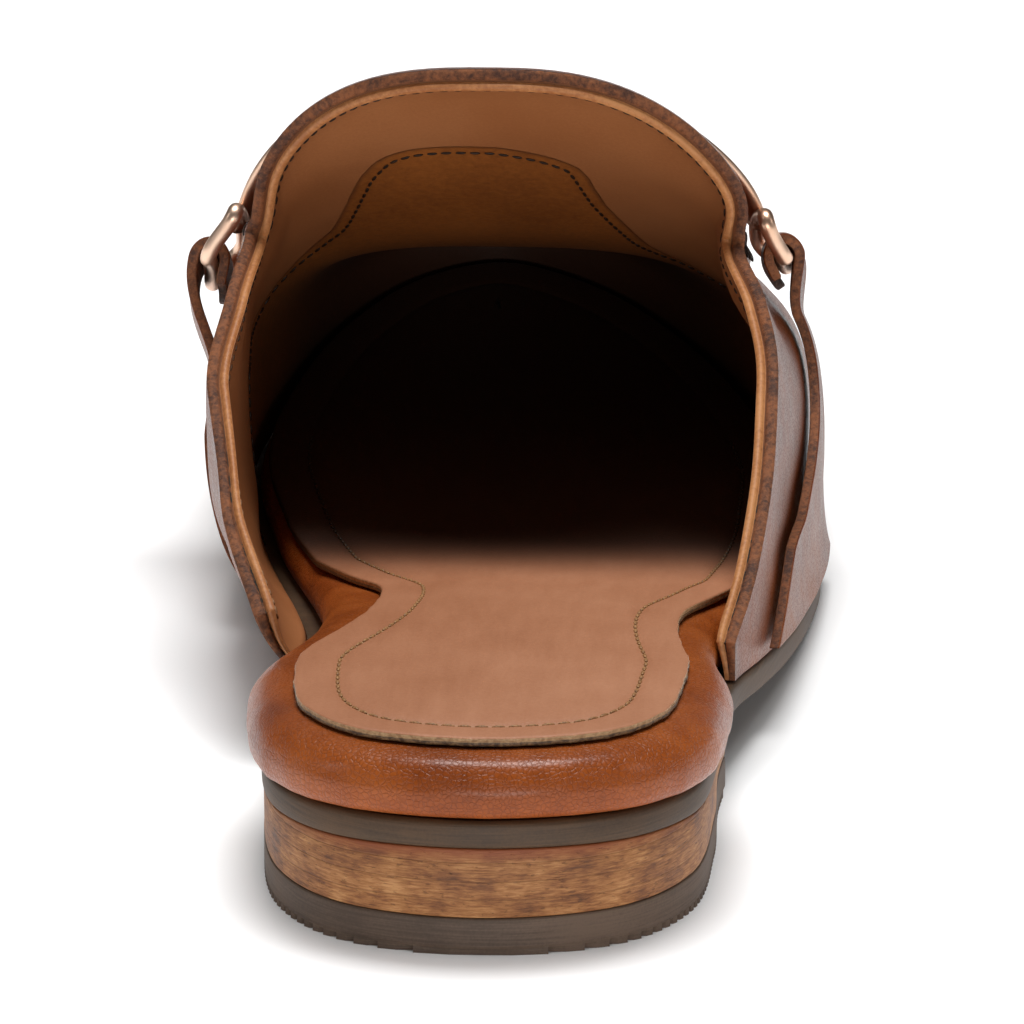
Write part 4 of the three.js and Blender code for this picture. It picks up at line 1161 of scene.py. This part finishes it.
height = on_facing * 2.2 + fine * 0.12 * on_facing + brushed * 0.4 * (1 - on_facing)
rough = 0.62 - on_facing * 0.12 + (fine - 0.5) * 0.1
end_finish(place, Base_Color=colour, Roughness=rough, Normal=height.bump(0.7, 0.22))
upper_lining = material

material, place = new_finish("raw_leather_edge")
fibres = noise(place, 1300, 4.0, 0.7)
stain = noise(place, 160, 3.0, 0.6)
tone = (fibres * 0.55 + stain * 0.45).between(0.36, 0.64)
colour = tone.colours((0.060, 0.018, 0.007), (0.30, 0.100, 0.032))
end_finish(place, Base_Color=colour, Roughness=0.72 + (stain - 0.5) * 0.2, Normal=fibres.bump(0.9, 0.3))
raw_edge = material

material, place = new_finish("edge_tape")
weave = noise(place, 2600, 3.0, 0.6)
shown = place.node("Attribute", {"attribute_name": "beside"}, {}, "Fac")
low_sides = 1 - shown.between(0.10, 0.2) + shown.between(0.78, 0.9)
worn = noise(place, 420, 3.0, 0.6).between(0.42, 0.56)
dark_tape = (low_sides * worn).colours((0.19, 0.070, 0.024), (0.012, 0.009, 0.006))
rough = 0.8 + (weave - 0.5) * 0.1
end_finish(place, Base_Color=dark_tape, Roughness=rough, Normal=weave.bump(0.7, 0.2))
edge_tape = material

material, place = new_finish("lining_edge")
grit = noise(place, 1500, 3.0, 0.6)
clouds = noise(place, 90, 2.0)
tone = (grit * 0.5 + clouds * 0.5).between(0.36, 0.64)
colour = tone.colours((0.42, 0.150, 0.045), (0.62, 0.27, 0.095))
rough = 0.55 + (clouds - 0.5) * 0.2
end_finish(place, Base_Color=colour, Roughness=rough, Normal=grit.bump(0.6, 0.15))
lining_edge = material

upper_materials = [upper_leather, upper_lining, raw_edge, edge_tape, lining_edge]
upper = add_piece("upper_leather_shell", vertices, faces, upper_materials, materials_of)
extra = len(vertices) - 2 * inner_start
store(upper, "facing_edge", np.r_[
    np.full(inner_start, FAR_FROM_FACING), facing_edge, np.full(extra, ON_CUT_EDGE)])
store(upper, "beside", np.r_[beside, beside, np.tile(edge_share, extra // len(opening))])
store(upper, "depth", np.r_[np.zeros(inner_start), from_edge, np.zeros(extra)])
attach(upper, "root")
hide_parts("upper")

# The upper's stitching: a fine row close to the lining's edge, one along the facing's inner edge, and
# thick hand stitches over the pleat of the apron seam.
EDGE_ROW_INSET = 1.9
EDGE_ROW_SPAN = (0.03, 0.97)
FACING_ROW_INSET = 2.0
ROW_ENDS = 60
lining_out = -normal
surface_tree = tree_of(inner)


def laid_on_lining(points, lift):
    """Drops points on to the nearest part of the lining, and lifts them a little off it."""
    placed, facing = [], []
    for p in points:
        near = surface_tree.find_n(Vector(p), 4)
        weight = np.array([1 / (0.05 + distance) for _, _, distance in near])
        weight /= weight.sum()
        out = (lining_out[[index for _, index, _ in near]] * weight[:, None]).sum(axis=0)
        out /= np.linalg.norm(out)
        height = sum(w * float((np.array(spot) - p) @ out) for w, (spot, _, _) in zip(weight, near))
        placed.append(p + out * (height + lift))
        facing.append(out)
    return np.array(placed), np.array(facing)


edge_row = inner[opening] - edge_out * EDGE_ROW_INSET + lining_out[opening] * 0.05
kept = (edge_share > EDGE_ROW_SPAN[0]) & (edge_share < EDGE_ROW_SPAN[1])
edge_stitches = laid_on_lining(edge_row[kept], 0.04)
add_stitches("lining_edge_stitches", *edge_stitches, brown_thread, 2.1, (0.75, 0.24, 0.18))

shown = slice(ROW_ENDS, -ROW_ENDS, 3)
on_lining, facing_out = laid_on_lining(facing_line[shown], 0.0)
across_line = np.cross(facing_out, np.gradient(facing_line, axis=0)[shown])
across_line /= np.linalg.norm(across_line, axis=1)[:, None]
facing_stitches = laid_on_lining(on_lining - across_line * FACING_ROW_INSET, 0.1)
add_stitches("facing_stitches", *facing_stitches, brown_thread, 2.1, (0.8, 0.26, 0.2))

seam = [number["lateral", i, SIDE_STEPS] for i in range(QUARTER_STEPS + 1, stations + 1)]
seam += [number["medial", i, SIDE_STEPS] for i in range(stations, QUARTER_STEPS, -1)]
seam_points = raised[seam] - normal[seam] * 0.08
add_stitches("apron_seam_stitches", seam_points, normal[seam], brown_thread, 3.6, (0.42, 1.0, 0.32))

# The side straps: smooth leather cut wide at the sole and slim above, lasted in with the quarter. Each
# rises over the bar's wire as a soft loop, folds back behind it, and its end is tucked in.
STRAP_THICKNESS = 1.5
STRAP_GAP = 0.7
STRAP_LOOP_WIDTH = 12.0
LOOP_RUN = {"lateral": 9.0, "medial": 17.0}
LOOP_END = 3.0
STRAP_HOLLOW = 0.6
WIRE_WIDTH = 2.2
WIRE_THICKNESS = 2.4
WIRE_CLEARANCE = 0.5
RING_DEPTH = 11.0
RING_CORNER = 2.0
RING_CORNER_POINTS = 9
RING_STEP = 0.6
BAR_ALONG = 166.0
BAR_WIDTH = 7.0
BAR_WAIST = 0.82
BAR_STEPS = 40
BAR_SIDES = 28
WIRE_SIDES = 24
LIMB_RISE = {"lateral": 0.335, "medial": 0.235}
LIMB_HEIGHT = STRAP_GAP + STRAP_THICKNESS + WIRE_CLEARANCE + WIRE_WIDTH / 2
BAR_HEIGHT = 2 * FIT_GAP + WIRE_THICKNESS / 2
RING_LENGTH = STRAP_LOOP_WIDTH + 6 * WIRE_CLEARANCE + 2 * WIRE_WIDTH
STRAP_LOW_RISE = -0.85
STRAP_CLIMB_STEPS = 80
STRAP_FOLD_STEPS = 28
STRAP_TUCK_STEPS = 12
STRAP_COLUMNS = 45

# The strap's outline: the rise, and how far along its rear edge, lateral and medial, and its front lie.
STRAP_EDGES = [
    (-1, 0.345, 0.5, 0.605), (-0.5, 0.385, 0.53, 0.612), (0, 0.45, 0.56, 0.622),
    (0.16, 0.53, 0.59, 0.635),
]
strap_rear_at = {"lateral": curve_of(STRAP_EDGES, 1), "medial": curve_of(STRAP_EDGES, 2)}
strap_front_at = curve_of(STRAP_EDGES, 3)


def above_point(side, along, rise, height):
    """A point that floats above the upper's outer surface and spans part of the hollow at the seam."""
    def under(forwards, upwards):
        return rib_point(side, along + forwards, rise + upwards, STRAP_HOLLOW)

    out = np.cross(under(1, 0) - under(-1, 0), under(0, 0.01) - under(0, -0.01))
    out /= np.linalg.norm(out, axis=-1, keepdims=True)
    if side == "medial":
        out = -out
    return under(0, 0) + out * np.asarray(height)[..., None]


def rise_per_length(side):
    ends = [rib_point(side, BAR_ALONG, LIMB_RISE[side] + step) for step in (-0.02, 0.02)]
    return 0.04 / np.linalg.norm(ends[1] - ends[0])


def strap_line(side, share):
    """The middle of the strap's leather at one place across its width, from the sole to its end."""
    per_length = rise_per_length(side)
    layer = STRAP_GAP + STRAP_THICKNESS / 2
    radius = (WIRE_WIDTH + STRAP_THICKNESS) / 2 + WIRE_CLEARANCE
    limb = LIMB_RISE[side]
    fold_start = limb - LOOP_RUN[side] * per_length
    tuck_end = limb - LOOP_END * per_length

    def point(rise, height):
        rise = np.asarray(rise, float)
        wide = lerp(strap_rear_at[side](rise), strap_front_at(rise), share) * SOLE_LENGTH
        slim = BAR_ALONG + STRAP_LOOP_WIDTH * (share - 0.5)
        along = lerp(wide, slim, smoothstep(rise, -0.1, fold_start))
        return above_point(side, along, rise, height + 0 * rise)

    seat = point(limb, layer + radius)
    away = point(limb, layer + radius + 1) - seat
    wire = above_point(side, BAR_ALONG + 1, limb, layer) - above_point(side, BAR_ALONG - 1, limb, layer)
    up = point(limb + per_length, layer + radius) - seat
    up /= np.linalg.norm(up)
    up /= np.linalg.norm(np.cross(up, wire / np.linalg.norm(wire)))
    climbed = np.arange(STRAP_CLIMB_STEPS + 1) / STRAP_CLIMB_STEPS
    rise = lerp(limb, STRAP_LOW_RISE, (1 - climbed) ** 1.6)
    climb = point(rise, lerp(layer, layer + 2 * radius, smoothstep(rise, fold_start, limb)))
    angle = (np.pi * np.arange(1, STRAP_FOLD_STEPS + 1) / STRAP_FOLD_STEPS)[:, None]
    fold = seat + up * radius * np.sin(angle) + away * radius * np.cos(angle)
    tucked = np.arange(1, STRAP_TUCK_STEPS + 1) / STRAP_TUCK_STEPS
    tuck = point(lerp(limb, tuck_end, tucked), layer)
    return np.vstack([climb, fold, tuck])


def strap_mesh(side):
    """The strap as one ribbon with softened edges: its vertices, its faces and their materials, 0 for
    the grain side, 1 for the cut edges and 2 for the flesh side."""
    shares = np.r_[0, 0.003, np.linspace(0.012, 0.988, STRAP_COLUMNS), 0.997, 1]
    slim = np.r_[0.72, 0.93, np.ones(STRAP_COLUMNS), 0.93, 0.72]
    lines = np.array([strap_line(side, share) for share in shares])
    if side == "medial":
        lines = lines[::-1]
        slim = slim[::-1]
    down = np.gradient(lines, axis=1)
    over = np.gradient(lines, axis=0)
    out = np.cross(over, down)
    out /= np.linalg.norm(out, axis=2, keepdims=True)
    half = STRAP_THICKNESS / 2 * slim[:, None, None]
    ends = np.ones(lines.shape[1])
    ends[-1], ends[-2] = 0.75, 0.95
    sides = []
    for sign in (1, -1):
        sheet = lines + out * half * sign * ends[None, :, None]
        sheet[..., 2] = np.maximum(sheet[..., 2], sole_top(sheet[..., 1]) + FIT_GAP)
        sides.append(sheet)
    count, rows = lines.shape[:2]
    vertices = np.vstack([sheet.reshape(-1, 3) for sheet in sides])

    def quad(*corners):
        return tuple(low * count * rows + j * rows + k for j, k, low in corners)

    faces, kinds = [], []
    last_j, last_k = count - 1, rows - 1
    for j in range(last_j):
        for k in range(last_k):
            faces.append(quad((j, k, 0), (j + 1, k, 0), (j + 1, k + 1, 0), (j, k + 1, 0)))
            faces.append(quad((j, k, 1), (j, k + 1, 1), (j + 1, k + 1, 1), (j + 1, k, 1)))
            kinds += [0, 2]
        faces.append(quad((j, 0, 0), (j, 0, 1), (j + 1, 0, 1), (j + 1, 0, 0)))
        faces.append(quad((j, last_k, 0), (j + 1, last_k, 0), (j + 1, last_k, 1), (j, last_k, 1)))
        kinds += [1, 1]
    for k in range(last_k):
        faces.append(quad((0, k, 0), (0, k + 1, 0), (0, k + 1, 1), (0, k, 1)))
        faces.append(quad((last_j, k, 0), (last_j, k, 1), (last_j, k + 1, 1), (last_j, k + 1, 0)))
        kinds += [1, 1]
    return vertices, faces, kinds


strap_leather = leather_finish(
    "strap_leather", (0.09, 0.019, 0.003), (0.17, 0.038, 0.006), (0.26, 0.068, 0.011),
    0.7, 0.10, 0.36, 0.08, 0.2)
material, place = new_finish("strap_flesh_side")
nap = noise(place, 1100, 4.0, 0.7)
colour = nap.between(0.35, 0.65).colours((0.10, 0.030, 0.010), (0.26, 0.095, 0.034))
end_finish(place, Base_Color=colour, Roughness=0.8 + (nap - 0.5) * 0.1, Normal=nap.bump(0.6, 0.2))
flesh_side = material
for side in SIDES:
    vertices, faces, kinds = strap_mesh(side)
    layers = [strap_leather, raw_edge, flesh_side]
    strap = add_piece("strap_" + side + "_leather", vertices, faces, layers, kinds)
    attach(strap, "root")
    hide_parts("strap_" + side)

# The bar: pale rose-gold plated metal, cast flat where it crosses the apron and turned to a round
# wire ring at each end, where a strap passes through.
def tube(centres, normals, half_width, half_height, sides, closed):
    """A tube with an elliptical section that turns with the surface it lies on."""
    centres, normals = np.array(centres), np.array(normals)
    if closed:
        forward = np.roll(centres, -1, axis=0) - np.roll(centres, 1, axis=0)
    else:
        forward = np.gradient(centres, axis=0)
    forward /= np.linalg.norm(forward, axis=1)[:, None]
    widthways = np.cross(forward, normals)
    widthways /= np.linalg.norm(widthways, axis=1)[:, None]
    upwards = np.cross(widthways, forward)
    angle = 2 * np.pi * np.arange(sides) / sides
    half_width = np.broadcast_to(half_width, len(centres))
    rings = (
        centres[:, None]
        + widthways[:, None] * (np.cos(angle)[None, :, None] * half_width[:, None, None])
        + upwards[:, None] * (np.sin(angle)[None, :, None] * half_height)
    )
    count = len(centres)
    faces = []
    for i in range(count if closed else count - 1):
        here, ahead = i * sides, (i + 1) % count * sides
        for j in range(sides):
            turned = (j + 1) % sides
            faces.append((here + j, here + turned, ahead + turned, ahead + j))
    if not closed:
        faces.append(tuple(reversed(range(sides))))
        faces.append(tuple(range((count - 1) * sides, count * sides)))
    return rings.reshape(-1, 3), faces


def ring_path(side):
    """The ring's centre line and outward directions: a rounded rectangle laid on the upper."""
    per_length = rise_per_length(side)
    half_length = (RING_LENGTH - WIRE_WIDTH) / 2
    half_depth = (RING_DEPTH - WIRE_WIDTH) / 2
    outline = []
    for turn, centre in enumerate(((1, -1), (1, 1), (-1, 1), (-1, -1))):
        middle = np.array(centre) * (half_length - RING_CORNER, half_depth - RING_CORNER)
        for angle in np.linspace(-np.pi / 2, 0, RING_CORNER_POINTS) + turn * np.pi / 2:
            outline.append(middle + RING_CORNER * np.array([np.cos(angle), np.sin(angle)]))
    dense = []
    for p, q in zip(outline, outline[1:] + outline[:1]):
        parts = max(1, round(np.linalg.norm(q - p) / RING_STEP))
        dense += [lerp(p, q, t / parts) for t in range(parts)]
    dense = np.array(dense)
    rise = LIMB_RISE[side] + (half_depth + dense[:, 1]) * per_length
    sink = smoothstep(dense[:, 1], -half_depth, half_depth) * (LIMB_HEIGHT - BAR_HEIGHT)
    centres = above_point(side, BAR_ALONG + dense[:, 0], rise, LIMB_HEIGHT - sink)
    normals = above_point(side, BAR_ALONG + dense[:, 0], rise, LIMB_HEIGHT + 1 - sink) - centres
    if side == "medial":
        centres, normals = centres[::-1], normals[::-1]
    return centres, normals


parts = []
for side in SIDES:
    centres, normals = ring_path(side)
    parts.append(tube(centres, normals, WIRE_WIDTH / 2, WIRE_THICKNESS / 2, WIRE_SIDES, True))
centres, normals = [], []
for side in SIDES:
    start_rise = LIMB_RISE[side] + (RING_DEPTH - WIRE_WIDTH) * rise_per_length(side)
    rise = lerp(start_rise, 1, np.arange(BAR_STEPS + 1) / BAR_STEPS)
    middle = above_point(side, BAR_ALONG, rise, BAR_HEIGHT)
    out = above_point(side, BAR_ALONG, rise, BAR_HEIGHT + 1) - middle
    if side == "medial":
        middle, out = middle[::-1][1:], out[::-1][1:]
    centres.append(middle)
    normals.append(out)
centres, normals = np.vstack(centres), np.vstack(normals)
# The two halves meet over the crown, so the bar's turning is smoothed there.
kernel = np.array([1, 2, 3, 2, 1]) / 9
for _ in range(4):
    padded = np.vstack([normals[:1]] * 2 + [normals] + [normals[-1:]] * 2)
    normals = np.stack([np.convolve(padded[:, k], kernel, "valid") for k in range(3)], axis=1)
share = np.linspace(-1, 1, len(centres))
half_width = BAR_WIDTH / 2 * lerp(BAR_WAIST, 1, share**2)
parts.append(tube(centres, normals, half_width, WIRE_THICKNESS / 2, BAR_SIDES, False))
vertices, faces = [], []
for part_vertices, part_faces in parts:
    faces += [tuple(v + len(vertices) for v in face) for face in part_faces]
    vertices += part_vertices.tolist()
material, place = new_finish("gold_metal")
haze = noise(place, 120, 3.0, 0.6)
hairlines = noise(place, (300, 2500, 2500), 3.0, 0.6)
colour = haze.between(0.35, 0.65).colours((0.80, 0.50, 0.34), (0.90, 0.64, 0.48))
rough = 0.3 + haze * 0.14
end_finish(place, Base_Color=colour, Metallic=1.0, Roughness=rough, Normal=hairlines.bump(0.15, 0.03))
bar = add_piece("bar_gold", vertices, faces, [material])
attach(bar, "root")
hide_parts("bar")

# The studio: a plain pale floor, large soft lights, and the camera behind and above the heel.
bpy.context.scene.view_settings.view_transform = "Standard"
bpy.ops.mesh.primitive_plane_add(size=12, location=(0, 0, 0))
floor = bpy.context.object
floor.name = "floor"
material, place = new_finish("pale_floor")
end_finish(place, Base_Color=(0.9, 0.9, 0.9, 1), Roughness=0.7)
floor.data.materials.append(material)

world = bpy.data.worlds.new("studio")
bpy.context.scene.world = world
world.use_nodes = True
sky = world.node_tree.nodes["Background"]
sky.inputs["Color"].default_value = (1, 1, 1, 1)
sky.inputs["Strength"].default_value = 0.07


def turned_to(place, aim):
    """The rotation that points a light or a camera from its place at its aim."""
    return (Vector(aim) - Vector(place)).to_track_quat("-Z", "Y").to_euler()


def soft_light(name, place, aim, size, power, colour=(1, 1, 1)):
    lamp = bpy.data.lights.new(name, "AREA")
    lamp.shape = "RECTANGLE"
    lamp.size, lamp.size_y = size
    lamp.energy = power
    lamp.color = colour
    holder = bpy.data.objects.new(name, lamp)
    holder.location = place
    holder.rotation_euler = turned_to(place, aim)
    bpy.context.scene.collection.objects.link(holder)
    return holder


soft_light("top_light", (0.05, 0.2, 1.4), (0, 0, 0.0), (0.7, 0.5), 17)
soft_light("right_light", (1.2, -0.2, 0.7), (0, 0, 0.04), (0.25, 0.6), 1.3, (0.95, 0.97, 1.0))
soft_light("left_light", (-1.2, -0.3, 0.7), (0, 0, 0.04), (0.25, 0.6), 1.3)
soft_light("heel_light", (0.15, -1.5, 0.14), (0, -0.1, 0.04), (0.8, 0.2), 5)
floor_light = soft_light("floor_light", (0, -0.2, 2.5), (0, 0, 0), (2.5, 2.5), 45)
floor_only = bpy.data.collections.new("floor_only")
floor_only.objects.link(floor)
floor_light.light_linking.receiver_collection = floor_only

# The camera keeps the photo's distance and angle to the shoe.
CAMERA_PLACE = (0.0608, -1.8074, 0.6451)
CAMERA_AIM = (0.0050, -0.1062, 0.0566)
CAMERA_LENS = 464
camera_data = bpy.data.cameras.new("camera")
camera_data.sensor_width = 36
camera_data.lens = CAMERA_LENS
camera_data.clip_start = 0.1
camera_data.clip_end = 20
camera = bpy.data.objects.new("camera", camera_data)
camera.location = CAMERA_PLACE
camera.rotation_euler = turned_to(CAMERA_PLACE, CAMERA_AIM)
bpy.context.scene.collection.objects.link(camera)
bpy.context.scene.camera = camera
